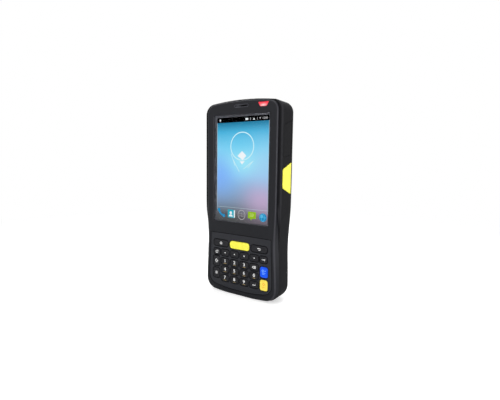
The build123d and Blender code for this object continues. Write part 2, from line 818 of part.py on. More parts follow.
with BuildPart() as keypad_mat:
    with BuildSketch(facing(mat_y)):
        outline(panel_form, mat_inset)
    extrude(amount=-mat_thickness)
keypad_mat.part.label = "keypad_mat"
export_step(keypad_mat.part, "parts/keypad_mat.step")

with BuildPart() as key_domes:
    with BuildSketch(facing(dome_y + dome_height)):
        with Locations(*[(x, z) for x, z, size, face in keys.values()]):
            Circle(dome_radius)
    extrude(amount=dome_height, taper=dome_taper)
key_domes.part.label = "key_domes"
export_step(key_domes.part, "parts/key_domes.step")

with BuildPart() as keypad_board:
    with BuildSketch(facing(board_y)):
        outline(panel_form, mat_inset)
    extrude(amount=-board_thickness)
keypad_board.part.label = "keypad_board"
export_step(keypad_board.part, "parts/keypad_board.step")

# ======================= indicator and earpiece =======================

with BuildPart() as indicator_lens:
    with BuildSketch(facing(front_y)):
        add(lens_face(0.0))
    extrude(amount=-lens_depth)
    chamfer(indicator_lens.faces().sort_by(Axis.Y)[0].edges(), lens_edge)
indicator_lens.part.label = "indicator_lens"
export_step(indicator_lens.part, "parts/indicator_lens.step")

with BuildPart() as ear_mesh:
    with BuildSketch(facing(mesh_y)):
        with Locations((ear_x, ear_z)):
            Rectangle(mesh_size[0], mesh_size[1])
            with GridLocations(mesh_pitch, mesh_pitch, mesh_holes[0], mesh_holes[1]):
                Circle(mesh_hole_radius, mode=Mode.SUBTRACT)
    extrude(amount=-mesh_thickness)
ear_mesh.part.label = "ear_mesh"
export_step(ear_mesh.part, "parts/ear_mesh.step")

with BuildPart() as ear_receiver:
    with BuildSketch(facing(front_y + front_wall + stack_gap)):
        with Locations((ear_x, receiver_z)):
            RectangleRounded(receiver_size[0], receiver_size[2], receiver_corner)
    extrude(amount=-receiver_size[1])
ear_receiver.part.label = "ear_receiver"
export_step(ear_receiver.part, "parts/ear_receiver.step")

# ======================= side keys =======================

for name, side in (("right_scan_key", 1), ("left_scan_key", -1)):
    with BuildPart() as scan_key:
        with BuildSketch(Plane.YZ.offset(side * (flange_x - side_flange_thickness))):
            add(scan_key_face(0.0))
        extrude(amount=side * (body_half + side_proud - flange_x + side_flange_thickness))
        outer = scan_key.faces().sort_by(Axis.X)[-1 if side > 0 else 0]
        fillet(outer.edges(), radius=side_proud)
        with BuildSketch(Plane.YZ.offset(side * (flange_x - side_flange_thickness))):
            add(scan_key_face(side_flange))
        extrude(amount=side * side_flange_thickness)
        with BuildSketch(Plane.YZ.offset(side * nub_end_x)):
            with Locations((side_switch_y, scan_key_z)):
                Circle(nub_radius)
        extrude(amount=side * (flange_x - nub_end_x - side_flange_thickness / 2))
    scan_key.part.label = name
    export_step(scan_key.part, f"parts/{name}.step")

with BuildPart() as volume_rocker:
    with BuildSketch(Plane.YZ.offset(-body_half - side_proud)):
        with Locations((rocker_y, rocker_z)):
            RectangleRounded(rocker_width, rocker_length, rocker_corner)
    extrude(amount=rocker_depth)
    fillet(volume_rocker.faces().sort_by(Axis.X)[0].edges(), radius=side_proud)
volume_rocker.part.label = "volume_rocker"
export_step(volume_rocker.part, "parts/volume_rocker.step")

with BuildPart() as side_switches:
    for side in (-1, 1):
        with BuildSketch(Plane.YZ.offset(side * bay_outer_half)):
            with Locations((side_switch_y, scan_key_z)):
                RectangleRounded(switch_size[0], switch_size[1], switch_corner)
        extrude(amount=side * (switch_x - bay_outer_half))
    for end in (-1, 1):
        with BuildSketch(Plane.YZ.offset(-rib_x)):
            with Locations((rocker_y, rocker_z + end * rocker_switch_z)):
                RectangleRounded(switch_size[0], switch_size[0], switch_corner)
        extrude(amount=-(rocker_switch_x - rib_x))
side_switches.part.label = "side_switches"
export_step(side_switches.part, "parts/side_switches.step")

# ======================= port =======================

with BuildPart() as port_cover:
    with BuildSketch(Plane.YZ.offset(body_half - flap_thickness)):
        add(flap_face(0.0))
    extrude(amount=flap_thickness)
    with BuildSketch(Plane.XY.offset(flap_rear_z - flap_half_rear)):
        with Locations((body_half - flap_thickness / 2, flap_rear_y)):
            Circle(flap_thickness / 2)
    extrude(amount=2 * flap_half_rear)
port_cover.part.label = "port_cover"
export_step(port_cover.part, "parts/port_cover.step")

with BuildPart() as usb_socket:
    with BuildSketch(Plane.YZ.offset(usb_end_x - usb_size[0])):
        with Locations((port_y, port_z)):
            RectangleRounded(usb_size[1], usb_size[2], usb_corner)
    extrude(amount=usb_size[0])
    with BuildSketch(Plane.YZ.offset(usb_end_x)):
        with Locations((port_y, port_z)):
            RectangleRounded(
                usb_size[1] - 2 * usb_wall, usb_size[2] - 2 * usb_wall, usb_corner - usb_wall
            )
            Rectangle(usb_tongue[0], usb_tongue[1], mode=Mode.SUBTRACT)
    extrude(amount=-usb_depth, mode=Mode.SUBTRACT)
usb_socket.part.label = "usb_socket"
export_step(usb_socket.part, "parts/usb_socket.step")

# ======================= scanner =======================

with BuildPart() as scan_window:
    with BuildSketch(Plane.XY.offset(top_window_z)):
        with Locations((0, top_window_y)):
            RectangleRounded(top_window_width, top_window_depth, top_window_corner)
    extrude(amount=top_window_thickness)
    chamfer(scan_window.faces().sort_by(Axis.Z)[-1].edges(), pane_edge)
scan_window.part.label = "scan_window"
export_step(scan_window.part, "parts/scan_window.step")

with BuildPart() as scan_engine:
    with BuildSketch(Plane.XY.offset(engine_top_z - engine_size[2])):
        with Locations((0, engine_y)):
            RectangleRounded(engine_size[0], engine_size[1], engine_corner)
    extrude(amount=engine_size[2])
    with BuildSketch(Plane.XY.offset(engine_top_z)):
        with Locations((engine_lens_x, engine_y)):
            Circle(engine_lens_radius)
        with Locations((engine_lamp_x, engine_y)):
            Rectangle(engine_lamp[0], engine_lamp[1])
    extrude(amount=-engine_recess, mode=Mode.SUBTRACT)
scan_engine.part.label = "scan_engine"
export_step(scan_engine.part, "parts/scan_engine.step")

# ======================= camera and loudspeaker =======================

with BuildPart() as camera_window:
    with BuildSketch(facing(camera_seat_y)):
        with Locations((camera_x, camera_z)):
            Circle(camera_radius)
    extrude(amount=-(back_y - camera_seat_y - camera_sink))
camera_window.part.label = "camera_window"
export_step(camera_window.part, "parts/camera_window.step")

with BuildPart() as camera_module:
    with BuildSketch(facing(inner_back_y - running_gap)):
        with Locations((camera_x, camera_z)):
            RectangleRounded(camera_block[0], camera_block[0], camera_block_corner)
    extrude(amount=camera_block[1])
    with BuildSketch(facing(inner_back_y - running_gap)):
        with Locations((camera_x, camera_z)):
            Circle(camera_radius - camera_rim - camera_barrel_gap)
    extrude(amount=-(camera_seat_y - inner_back_y))
camera_module.part.label = "camera_module"
export_step(camera_module.part, "parts/camera_module.step")

with BuildPart() as flash_lens:
    with BuildSketch(facing(camera_seat_y)):
        with Locations((camera_x, flash_z)):
            Circle(flash_radius)
    extrude(amount=-(back_y - camera_seat_y - camera_sink))
    fillet(flash_lens.faces().sort_by(Axis.Y)[-1].edges(), radius=camera_sink)
flash_lens.part.label = "flash_lens"
export_step(flash_lens.part, "parts/flash_lens.step")

with BuildPart() as loudspeaker:
    with BuildSketch(facing(inner_back_y - running_gap)):
        with Locations((speaker_x, speaker_z)):
            RectangleRounded(speaker_size[0], speaker_size[2], speaker_corner)
    extrude(amount=speaker_size[1])
loudspeaker.part.label = "loudspeaker"
export_step(loudspeaker.part, "parts/loudspeaker.step")

# ======================= battery =======================

with BuildPart() as battery_pack:
    with BuildSketch(facing(cell_y)):
        with Locations((0, cell_z)):
            RectangleRounded(cell_width, cell_height, cell_corner)
    extrude(amount=-cell_thickness)
    fillet(battery_pack.edges().filter_by(Axis.Y, reverse=True), radius=cell_edge)
battery_pack.part.label = "battery_pack"
export_step(battery_pack.part, "parts/battery_pack.step")

inner_casing = Pos(0, -wall, 0) * casing
with BuildPart() as battery_cover:
    with BuildSketch(facing(0)):
        with Locations((0, cover_z)):
            RectangleRounded(cover_width, cover_height, cover_corner - cover_gap)
    extrude(amount=-(back_y + cut_past))
    add(casing, mode=Mode.INTERSECT)
    add(inner_casing, mode=Mode.SUBTRACT)
    with BuildSketch(facing(latch_y)):
        with Locations((0, nub_z + latch_travel / 2)):
            RectangleRounded(
                nub_width + 2 * slide_gap, nub_height + latch_travel + 2 * slide_gap, nub_corner + slide_gap
            )
    extrude(amount=-(back_y + cut_past - latch_y), mode=Mode.SUBTRACT)
battery_cover.part.label = "battery_cover"
export_step(battery_cover.part, "parts/battery_cover.step")

with BuildPart() as battery_latch:
    with BuildSketch(facing(latch_y)):
        with Locations((0, (latch_top_z + latch_bottom_z) / 2)):
            RectangleRounded(latch_width, latch_top_z - latch_bottom_z, nub_corner)
    extrude(amount=-latch_thickness)
    with BuildSketch(facing(latch_y)):
        with Locations((0, nub_z)):
            RectangleRounded(nub_width, nub_height, nub_corner)
    extrude(amount=-(back_y - nub_sink - latch_y))
    with BuildSketch(facing(back_y - nub_sink)):
        with Locations((0, nub_z)):
            with GridLocations(0, grip_pitch, 1, grip_count):
                Rectangle(nub_width - 2 * nub_corner, grip_pitch / 2)
    extrude(amount=grip_depth, mode=Mode.SUBTRACT)
battery_latch.part.label = "battery_latch"
export_step(battery_latch.part, "parts/battery_latch.step")

with BuildPart() as battery_contacts:
    with BuildSketch(facing(main_board_y + board_thickness + film_gap)):
        with Locations((0, contact_z)):
            with GridLocations(blade_pitch, 0, blade_count, 1):
                RectangleRounded(blade_size[0], blade_size[1], blade_corner)
    extrude(amount=-(cell_y - contact_gap - main_board_y - board_thickness - film_gap))
battery_contacts.part.label = "battery_contacts"
export_step(battery_contacts.part, "parts/battery_contacts.step")

# ======================= boards and chassis =======================

with BuildPart() as inner_chassis:
    with BuildSketch(facing(chassis_y)):
        outline(front_form, chassis_inset)
        with Locations((0, screen_z)):
            RectangleRounded(
                chassis_window[0], chassis_window[1], chassis_window_corner, mode=Mode.SUBTRACT
            )
        # Room for the scanner window's frame.
        with Locations((0, body_height)):
            Rectangle(
                top_window_width + 2 * (window_frame + boss_gap),
                2 * (body_height - window_frame_z + boss_gap),
                mode=Mode.SUBTRACT,
            )
    extrude(amount=-chassis_thickness)
    with BuildSketch(facing(chassis_end_y)):
        with Locations(*screw_places):
            Circle(chassis_boss_radius)
    extrude(amount=-(chassis_boss_end_y - chassis_end_y))
    with BuildSketch(facing(chassis_end_y)):
        with Locations(*standoff_places):
            Circle(standoff_radius)
    extrude(amount=-(main_board_y - chassis_end_y))
    with BuildSketch(facing(chassis_end_y)):
        with Locations((-rib_x + rib_thickness / 2, rocker_z)):
            Rectangle(rib_thickness, rib_length)
    extrude(amount=-(chassis_boss_end_y - chassis_end_y))
    with BuildSketch(facing(chassis_boss_end_y)):
        with Locations(*screw_places):
            Circle(screw_radius + thread_gap)
    extrude(amount=chassis_boss_end_y - screw_tip_y + screw_tip_room, mode=Mode.SUBTRACT)
inner_chassis.part.label = "inner_chassis"
export_step(inner_chassis.part, "parts/inner_chassis.step")

with BuildPart() as main_board:
    with BuildSketch(facing(main_board_y)):
        with Locations((0, (main_board_top_z + main_board_bottom_z) / 2)):
            RectangleRounded(
                2 * main_board_half, main_board_top_z - main_board_bottom_z, main_board_corner
            )
    extrude(amount=-board_thickness)
main_board.part.label = "main_board"
export_step(main_board.part, "parts/main_board.step")

with BuildPart() as shield_cans:
    for x, z, width, height in can_places:
        with BuildSketch(facing(can_y)):
            with Locations((x, z)):
                RectangleRounded(width, height, can_corner)
        extrude(amount=-can_height)
        with BuildSketch(facing(can_y)):
            with Locations((x, z)):
                RectangleRounded(width - 2 * can_wall, height - 2 * can_wall, can_corner - can_wall)
        extrude(amount=-(can_height - can_wall), mode=Mode.SUBTRACT)
shield_cans.part.label = "shield_cans"
export_step(shield_cans.part, "parts/shield_cans.step")

with BuildPart() as card_holder:
    with BuildSketch(facing(can_y)):
        with Locations((0, card_z)):
            RectangleRounded(card_size[0], card_size[1], card_corner)
    extrude(amount=-can_height)
    with BuildSketch(Plane.XY.offset(card_z - card_size[1] / 2)):
        with Locations((0, can_y + can_height / 2)):
            Rectangle(card_size[0] - 2 * can_wall, can_height - 2 * can_wall)
    extrude(amount=card_size[1] - 2 * can_wall, mode=Mode.SUBTRACT)
card_holder.part.label = "card_holder"
export_step(card_holder.part, "parts/card_holder.step")

with BuildPart() as housing_screws:
    with BuildSketch(facing(screw_head_y + screw_head_height)):
        with Locations(*screw_places):
            Circle(screw_head_radius)
    extrude(amount=screw_head_height)
    with BuildSketch(facing(screw_head_y)):
        with Locations(*screw_places):
            Circle(screw_radius)
    extrude(amount=screw_head_y - screw_tip_y)
    with BuildSketch(facing(screw_head_y + screw_head_height)):
        with Locations(*screw_places):
            Rectangle(screw_slot, screw_slot_length)
            Rectangle(screw_slot_length, screw_slot)
    extrude(amount=screw_slot_depth, mode=Mode.SUBTRACT)
housing_screws.part.label = "housing_screws"
export_step(housing_screws.part, "parts/housing_screws.step")

with BuildPart() as cradle_contacts:
    with BuildSketch(Plane.XY.offset(contact_sink)):
        with Locations((0, contact_y)):
            with GridLocations(contact_pitch, 0, contact_count, 1):
                Rectangle(contact_size[0], contact_size[1])
    extrude(amount=wall + contact_sink)
cradle_contacts.part.label = "cradle_contacts"
export_step(cradle_contacts.part, "parts/cradle_contacts.step")
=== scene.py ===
"""The looks of a portable barcode data terminal, built round its packed frame. Metres throughout."""

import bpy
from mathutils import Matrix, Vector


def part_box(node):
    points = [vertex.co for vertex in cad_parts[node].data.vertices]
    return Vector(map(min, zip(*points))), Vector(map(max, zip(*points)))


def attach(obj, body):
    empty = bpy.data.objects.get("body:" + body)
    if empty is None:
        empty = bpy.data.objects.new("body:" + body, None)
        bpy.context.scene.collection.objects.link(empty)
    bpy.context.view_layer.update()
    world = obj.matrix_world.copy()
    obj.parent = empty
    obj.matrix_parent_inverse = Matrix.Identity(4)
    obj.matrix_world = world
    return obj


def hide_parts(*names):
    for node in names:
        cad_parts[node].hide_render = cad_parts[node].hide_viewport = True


bl_info = {
    "name": "Portable Data Terminal",
    "version": (1, 0, 0),
    "blender": (4, 5, 0),
    "location": "3D View > Sidebar > Terminal",
    "description": "Finishes, key caps, legends and lit screen of a handheld barcode terminal",
    "category": "Add Mesh",
}

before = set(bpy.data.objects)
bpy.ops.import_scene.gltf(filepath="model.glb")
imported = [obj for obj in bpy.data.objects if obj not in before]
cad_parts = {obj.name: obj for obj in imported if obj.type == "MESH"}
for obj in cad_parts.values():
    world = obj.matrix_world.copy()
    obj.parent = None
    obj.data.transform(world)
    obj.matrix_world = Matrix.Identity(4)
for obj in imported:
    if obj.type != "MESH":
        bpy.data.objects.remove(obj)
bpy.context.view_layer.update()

import math

import bmesh
import bpy
import numpy as np
from bpy.props import FloatProperty, FloatVectorProperty, IntProperty, PointerProperty
from mathutils import Euler, Vector

MM = 0.001
MAIN_BODY = "terminal"
KEY_NODES = sorted(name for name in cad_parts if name.startswith("key_") and name != "key_domes")
LCD_LOW, LCD_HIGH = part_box("lcd_panel")
CLOSE = 0.0005 * MM  # points nearer than this are one
BLACK = (0.0, 0.0, 0.0, 1.0)
WHITE = (1.0, 1.0, 1.0, 1.0)
WIDE_CORNERS = ((9 * MM, 2.4 * MM), (7 * MM, 2.2 * MM))  # a half width, and the corner of wider caps
TALL_CORNER = 1.8 * MM   # of other caps that are higher than wide
SMALL_CORNER = 1.7 * MM  # of all others


def colour_property(name, description, default):
    """A colour that the sidebar shows as a swatch."""
    return FloatVectorProperty(
        name=name, description=description, subtype="COLOR", size=3, min=0.0, max=1.0, default=default
    )


def length_property(name, description, default):
    """A length in metres."""
    return FloatProperty(
        name=name, description=description, default=default, unit="LENGTH", precision=5, min=0.0
    )


def power_property(name, default):
    """The power of a lamp."""
    return FloatProperty(name=name, description="Power in watts", default=default, unit="POWER", min=0.0)


def share_property(name, description, default):
    """A plain number from zero up."""
    return FloatProperty(name=name, description=description, default=default, min=0.0)


# ---------------------------------------------------------------- properties


class TerminalFinish(bpy.types.PropertyGroup):
    """Colours of the plastics, prints and panes."""

    front: colour_property("Front", "Front housing and keypad panel", (0.0124, 0.0130, 0.0160))
    rear: colour_property("Rear", "Rear housing and battery cover", (0.0078, 0.0078, 0.0092))
    dark_key: colour_property("Dark keys", "Number, arrow and menu keys", (0.0105, 0.0106, 0.0135))
    yellow: colour_property("Yellow keys", "Scan keys", (0.96, 0.90, 0.072))
    blue: colour_property("Blue key", "Blue function key", (0.006, 0.092, 0.86))
    orange: colour_property("Orange key", "Orange function key", (0.96, 0.765, 0.10))
    print_white: colour_property("Legends", "White key legends", (0.86, 0.86, 0.86))
    print_tan: colour_property("Second legends", "Tan marks under the digits", (0.44, 0.31, 0.12))
    print_sky: colour_property("Blue key legend", "Marks on the blue key", (0.22, 0.50, 1.0))
    print_rust: colour_property("Orange key legend", "Marks on the orange key", (0.95, 0.40, 0.03))
    lens: colour_property("Indicator", "Red indicator lens", (0.80, 0.02, 0.045))
    # A painted highlight: the paler colour of the soft ball on the indicator lens, which also glows faintly.
    lens_highlight: colour_property("Indicator light", "Lit part of the indicator", (0.84, 0.56, 0.56))
    gold: colour_property("Gold", "Contacts", (0.78, 0.52, 0.20))
    steel: colour_property("Steel", "Shells, screws and meshes", (0.42, 0.42, 0.43))
    board: colour_property("Board", "Circuit boards", (0.012, 0.10, 0.045))
    grain_depth: length_property("Grain depth", "Depth of the moulded texture", 0.012 * MM)
    grain_size: length_property("Grain size", "Width of the moulded texture", 0.28 * MM)


class TerminalKeys(bpy.types.PropertyGroup):
    """Shape of the key caps and their prints."""

    flange: length_property("Flange", "How far the hidden flange stands out past the cap", 0.55 * MM)
    flange_thickness: length_property("Flange thickness", "Thickness of the hidden flange", 0.6 * MM)
    edge: length_property("Edge", "Radius of the cap's rounded edge", 0.55 * MM)
    dish: length_property("Dish", "How deep the middle of a cap lies", 0.2 * MM)
    dish_width: length_property("Dish width", "How far the dish slopes in from the edge", 1.1 * MM)
    print_height: length_property("Print height", "How far a print stands out", 0.02 * MM)
    digit_size: length_property("Digit size", "Height of the text that the digits are set in", 3.9 * MM)
    stroke: length_property("Stroke", "Width of the drawn lines", 0.40 * MM)
    # The next three size the near-black lines of painted shadow in the gaps round the caps and along the
    # panel's edge.
    well_gap: length_property("Well gap", "Gap between a cap and the seal round it", 0.3 * MM)
    well: length_property("Well", "Width of the dark seal round a cap", 0.3 * MM)
    seam: length_property("Seam", "Width of the dark line round the panel", 0.45 * MM)
    corner_steps: IntProperty(
        name="Corner steps", description="Points round each corner of a cap", default=7, min=3, max=24
    )


class TerminalScreen(bpy.types.PropertyGroup):
    """Layout of the lit picture."""

    width: length_property("Width", "Width of the lit picture", LCD_HIGH.x - LCD_LOW.x - 5.3 * MM)
    height: length_property("Height", "Height of the lit picture", LCD_HIGH.z - LCD_LOW.z - 4.3 * MM)
    middle: length_property(
        "Middle", "Height of the picture's middle above the floor", (LCD_LOW.z + LCD_HIGH.z) / 2 - 0.65 * MM
    )
    shift: length_property("Shift", "How far the picture lies right of the middle", 0.45 * MM)
    bar: length_property("Status bar", "Height of the black bar on top", 4.3 * MM)
    dock: length_property("Dock", "Height of the pale line above the signs", 11.8 * MM)
    layer: length_property("Layer", "Depth between the layers of the picture", 0.02 * MM)
    glow: share_property("Glow", "Strength of the lit picture", 0.95)


class TerminalStage(bpy.types.PropertyGroup):
    """Camera, lamps and floor."""

    camera_place: FloatVectorProperty(
        name="Camera place", description="Where the camera stands", subtype="TRANSLATION",
        size=3, default=(0.16188, -0.24842, 0.11333),
    )
    camera_turn: FloatVectorProperty(
        name="Camera turn", description="The camera's turn about X, Y and Z", subtype="EULER",
        size=3, default=(math.radians(83.827), math.radians(-0.761), math.radians(32.872)),
    )
    lens: FloatProperty(name="Lens", description="Focal length in millimetres", default=25.0, min=5.0)
    floor: length_property("Floor", "Half width of the floor", 3.0)
    floor_lift: share_property("Floor lift", "White that the eye sees on the floor besides its light", 0.50)
    key_power: power_property("Key lamp", 2.4)
    rim_power: power_property("Rim lamp", 3.2)
    top_power: power_property("Top lamp", 1.6)
    back_power: power_property("Back lamp", 6.0)
    room: share_property("Room light", "Strength of the even light", 0.62)


# ---------------------------------------------------------------- meshes


def grid_faces(rows, columns, closed=False):
    """Quads of a grid of points, row after row. Where it is closed, its last column joins its first."""
    across = columns if closed else columns - 1
    row, column = np.meshgrid(np.arange(rows - 1), np.arange(across), indexing="ij")
    start = (row * columns + column).ravel()
    side = (row * columns + (column + 1) % columns).ravel()
    return np.stack([start, side, side + columns, start + columns], axis=1)


def joined(parts):
    """One set of points and faces from several: each part's face numbers move up by the points before it."""
    points, faces, start = [], [], 0
    for part_points, part_faces in parts:
        points.append(np.asarray(part_points, float))
        faces += [[index + start for index in face] for face in np.asarray(part_faces, object).tolist()]
        start += len(part_points)
    return np.concatenate(points), faces


def new_object(name, data):
    """An object with its data, in the scene."""
    item = bpy.data.objects.new(name, data)
    bpy.context.scene.collection.objects.link(item)
    return item


def new_piece(name, points, faces, body, material, smooth=True, merge=0.0):
    """A mesh piece that rides on a body. Points nearer than merge become one, and faces point outwards."""
    mesh = bpy.data.meshes.new(name)
    mesh.from_pydata(np.asarray(points, float).tolist(), [], [list(map(int, face)) for face in faces])
    mesh.validate()
    tidy_mesh(mesh, merge)
    mesh.polygons.foreach_set("use_smooth", np.full(len(mesh.polygons), smooth))
    mesh.materials.append(material)
    piece = new_object(name, mesh)
    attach(piece, body)
    return piece


def tidy_mesh(mesh, merge):
    """Merges doubled points and turns every face outwards."""
    work = bmesh.new()
    work.from_mesh(mesh)
    if merge:
        bmesh.ops.remove_doubles(work, verts=work.verts, dist=merge)
        bmesh.ops.dissolve_degenerate(work, edges=work.edges, dist=merge)
    bmesh.ops.recalc_face_normals(work, faces=work.faces)
    work.to_mesh(mesh)
    work.free()


def rounded_ring(half_width, half_height, corner, steps):
    """Points anticlockwise round a rounded rectangle: each corner's middle plus a quarter circle."""
    quarter = np.linspace(0.0, math.pi / 2, steps)
    angle = (quarter[None, :] + np.arange(4)[:, None] * math.pi / 2).ravel()
    right = np.repeat([1.0, -1.0, -1.0, 1.0], steps)
    upper = np.repeat([1.0, 1.0, -1.0, -1.0], steps)
    across = right * (half_width - corner) + corner * np.cos(angle)
    up = upper * (half_height - corner) + corner * np.sin(angle)
    return np.stack([across, up], axis=1)


def inside_depth(across, up, half_width, half_height, corner):
    """How far points lie inside a rounded rectangle: minus its signed distance."""
    over_x = np.abs(across) - (half_width - corner)
    over_z = np.abs(up) - (half_height - corner)
    outside = np.hypot(np.maximum(over_x, 0.0), np.maximum(over_z, 0.0))
    return corner - outside - np.minimum(np.maximum(over_x, over_z), 0.0)


def smooth_step(value):
    """Zero up to 0, one from 1, and 3v^2 - 2v^3 in between."""
    value = np.clip(value, 0.0, 1.0)
    return value * value * (3.0 - 2.0 * value)


def prism(outline, low, high):
    """A flat shape with straight sides: the outline's points (x, z) at depth low and at depth high."""
    outline = np.asarray(outline, float)
    count = len(outline)
    front = np.column_stack([outline[:, 0], np.full(count, low), outline[:, 1]])
    back = np.column_stack([outline[:, 0], np.full(count, high), outline[:, 1]])
    ring = np.arange(count)
    following = (ring + 1) % count
    sides = np.stack([ring, following, following + count, ring + count], axis=1).tolist()
    return np.concatenate([front, back]), [ring[::-1].tolist(), (ring + count).tolist(), *sides]


def ribbon(path, width, low, high, closed=False):
    """A flat line of the given width along a path of (x, z) points: each point moves half the width both
    ways along the mean of its neighbours' normals, and the section's four corners are carried along."""
    path = np.asarray(path, float)
    if closed:
        ahead, behind = np.roll(path, -1, axis=0), np.roll(path, 1, axis=0)
    else:
        ahead = np.concatenate([path[1:], path[-1:]])
        behind = np.concatenate([path[:1], path[:-1]])
    run_on = unit(np.where(np.abs(ahead - path).sum(1, keepdims=True) > 0, ahead - path, path - behind))
    run_in = unit(np.where(np.abs(path - behind).sum(1, keepdims=True) > 0, path - behind, ahead - path))
    along = unit(run_on + run_in)
    normal = np.column_stack([-along[:, 1], along[:, 0]])
    first_normal = np.column_stack([-run_on[:, 1], run_on[:, 0]])
    sharpest = 0.35  # the least cosine, which keeps the point of a sharp corner near it
    reach = width / 2 / np.maximum((normal * first_normal).sum(1), sharpest)
    left, right = path + normal * reach[:, None], path - normal * reach[:, None]
    count = len(path)
    corners = [
        np.column_stack([side[:, 0], np.full(count, depth), side[:, 1]])
        for side, depth in ((left, low), (right, low), (right, high), (left, high))
    ]
    points = np.stack(corners, axis=1).reshape(-1, 3)
    if closed:
        points = np.concatenate([points, points[:4]])
        return points, grid_faces(count + 1, 4, closed=True).tolist()
    last = 4 * (count - 1)
    ends = [[3, 2, 1, 0], [last, last + 1, last + 2, last + 3]]
    return points, grid_faces(count, 4, closed=True).tolist() + ends


def unit(vectors):
    """Vectors divided by their lengths."""
    return vectors / np.maximum(np.linalg.norm(vectors, axis=1, keepdims=True), 1e-12)


def inset(path, distance):
    """A closed path moved inwards: each point goes along the normal of the line between its neighbours, to
    the side that the sign of the path's area gives."""
    along = unit(np.roll(path, -1, axis=0) - np.roll(path, 1, axis=0))
    normal = np.column_stack([-along[:, 1], along[:, 0]])
    area = (path[:, 0] * np.roll(path[:, 1], -1) - np.roll(path[:, 0], -1) * path[:, 1]).sum()
    return path + normal * math.copysign(distance, area)


def arc(middle, radius, start, end, steps=16):
    """Points (x, z) on a circle between two angles in degrees; radius may be a pair for an ellipse."""
    angle = np.radians(np.linspace(start, end, steps))
    radii = np.broadcast_to(radius, 2)
    return np.column_stack([middle[0] + radii[0] * np.cos(angle), middle[1] + radii[1] * np.sin(angle)])


def circle(middle, radius, steps=24):
    """Points (x, z) all round a circle."""
    return arc(middle, radius, 0.0, 360.0 - 360.0 / steps, steps)


def set_text(text, size, middle, low, high):
    """Digits as a closed mesh: a text curve with thickness, made a mesh, then centred on middle."""
    bolder = 0.022
    curve = bpy.data.curves.new("digits", "FONT")
    curve.body = text
    curve.size = size
    curve.extrude = (high - low) / 2
    curve.offset = size * bolder
    curve.resolution_u = 4
    holder = new_object("digits", curve)
    mesh = bpy.data.meshes.new_from_object(holder.evaluated_get(bpy.context.evaluated_depsgraph_get()))
    points = np.empty(len(mesh.vertices) * 3)
    mesh.vertices.foreach_get("co", points)
    points = points.reshape(-1, 3)
    faces = [list(polygon.vertices) for polygon in mesh.polygons]
    bpy.data.objects.remove(holder)
    bpy.data.curves.remove(curve)
    bpy.data.meshes.remove(mesh)
    flat_middle = (points[:, :2].min(0) + points[:, :2].max(0)) / 2
    across, up = (points[:, :2] - flat_middle).T
    placed = np.column_stack([middle[0] + across, (low + high) / 2 - points[:, 2], middle[1] + up])
    return placed, faces


# ---------------------------------------------------------------- shader groups and materials


class NodeBook:
    """Short calls that add nodes to one tree and join their sockets."""

    def __init__(self, tree):
        self.tree = tree

    def feed(self, node, inputs):
        """Sets a node's inputs to values, or joins them to sockets."""
        for name, value in inputs.items():
            if isinstance(value, bpy.types.NodeSocket):
                self.tree.links.new(value, node.inputs[name])
            else:
                node.inputs[name].default_value = value

    def add(self, kind, inputs=None, **settings):
        """A node with its settings and its inputs."""
        node = self.tree.nodes.new(kind)
        for name, value in settings.items():
            setattr(node, name, value)
        self.feed(node, inputs or {})
        return node

    def place(self):
        """The point on the piece."""
        return self.add("ShaderNodeTexCoord").outputs["Object"]

    def part(self, place, axis):
        """One of a point's three numbers."""
        return self.add("ShaderNodeSeparateXYZ", {0: place}).outputs[axis]

    def maths(self, operation, first, second=0.0, third=0.0):
        """The result of one Math node."""
        return self.add("ShaderNodeMath", {0: first, 1: second, 2: third}, operation=operation).outputs[0]

    def noise(self, place, scale, detail, roughness=0.5):
        """Soft noise from zero to one."""
        inputs = {"Vector": place, "Scale": scale, "Detail": detail, "Roughness": roughness}
        return self.add("ShaderNodeTexNoise", inputs).outputs["Fac"]

    def mapped(self, place, scale, location=(0.0, 0.0, 0.0)):
        """A point stretched and then moved."""
        inputs = {"Vector": place, "Location": location, "Scale": scale}
        return self.add("ShaderNodeMapping", inputs).outputs[0]

    def ramp(self, value, start, end, first=0.0, last=1.0, **settings):
        """A value that runs from first to last while another runs from start to end."""
        inputs = {"Value": value, "From Min": start, "From Max": end, "To Min": first, "To Max": last}
        return self.add("ShaderNodeMapRange", inputs, **settings).outputs[0]

    def bump(self, height, depth):
        """The normal of a surface that a height between zero and one raises by a depth."""
        inputs = {"Height": height, "Distance": depth, "Strength": 1.0}
        return self.add("ShaderNodeBump", inputs).outputs["Normal"]

    def blend(self, factor, first, second):
        """Two colours mixed by a factor."""
        node = self.add("ShaderNodeMix", {0: factor}, data_type="RGBA")
        for socket, colour in ((6, first), (7, second)):
            joins = isinstance(colour, bpy.types.NodeSocket)
            self.feed(node, {socket: colour if joins else (*colour[:3], 1.0)})
        return node.outputs[2]

    def effect(self, name, inputs):
        """The outputs of a shared group, made when it is first asked for, with this material's inputs."""
        if name not in bpy.data.node_groups:
            EFFECTS[name]()
        return self.add("ShaderNodeGroup", inputs, node_tree=bpy.data.node_groups[name]).outputs


def effect_group(name, inputs, outputs):
    """An empty node group with float inputs of the given defaults, and outputs that are floats, or a vector
    for a normal. It gives the group's book, its input sockets, its output node and the point on the piece."""
    tree = bpy.data.node_groups.new(name, "ShaderNodeTree")
    for label, default in inputs.items():
        socket = tree.interface.new_socket(label, in_out="INPUT", socket_type="NodeSocketFloat")
        socket.default_value = default
    for label in outputs:
        kind = "NodeSocketVector" if label == "Normal" else "NodeSocketFloat"
        tree.interface.new_socket(label, in_out="OUTPUT", socket_type=kind)
    book = NodeBook(tree)
    return book, tree.nodes.new("NodeGroupInput").outputs, tree.nodes.new("NodeGroupOutput"), book.place()


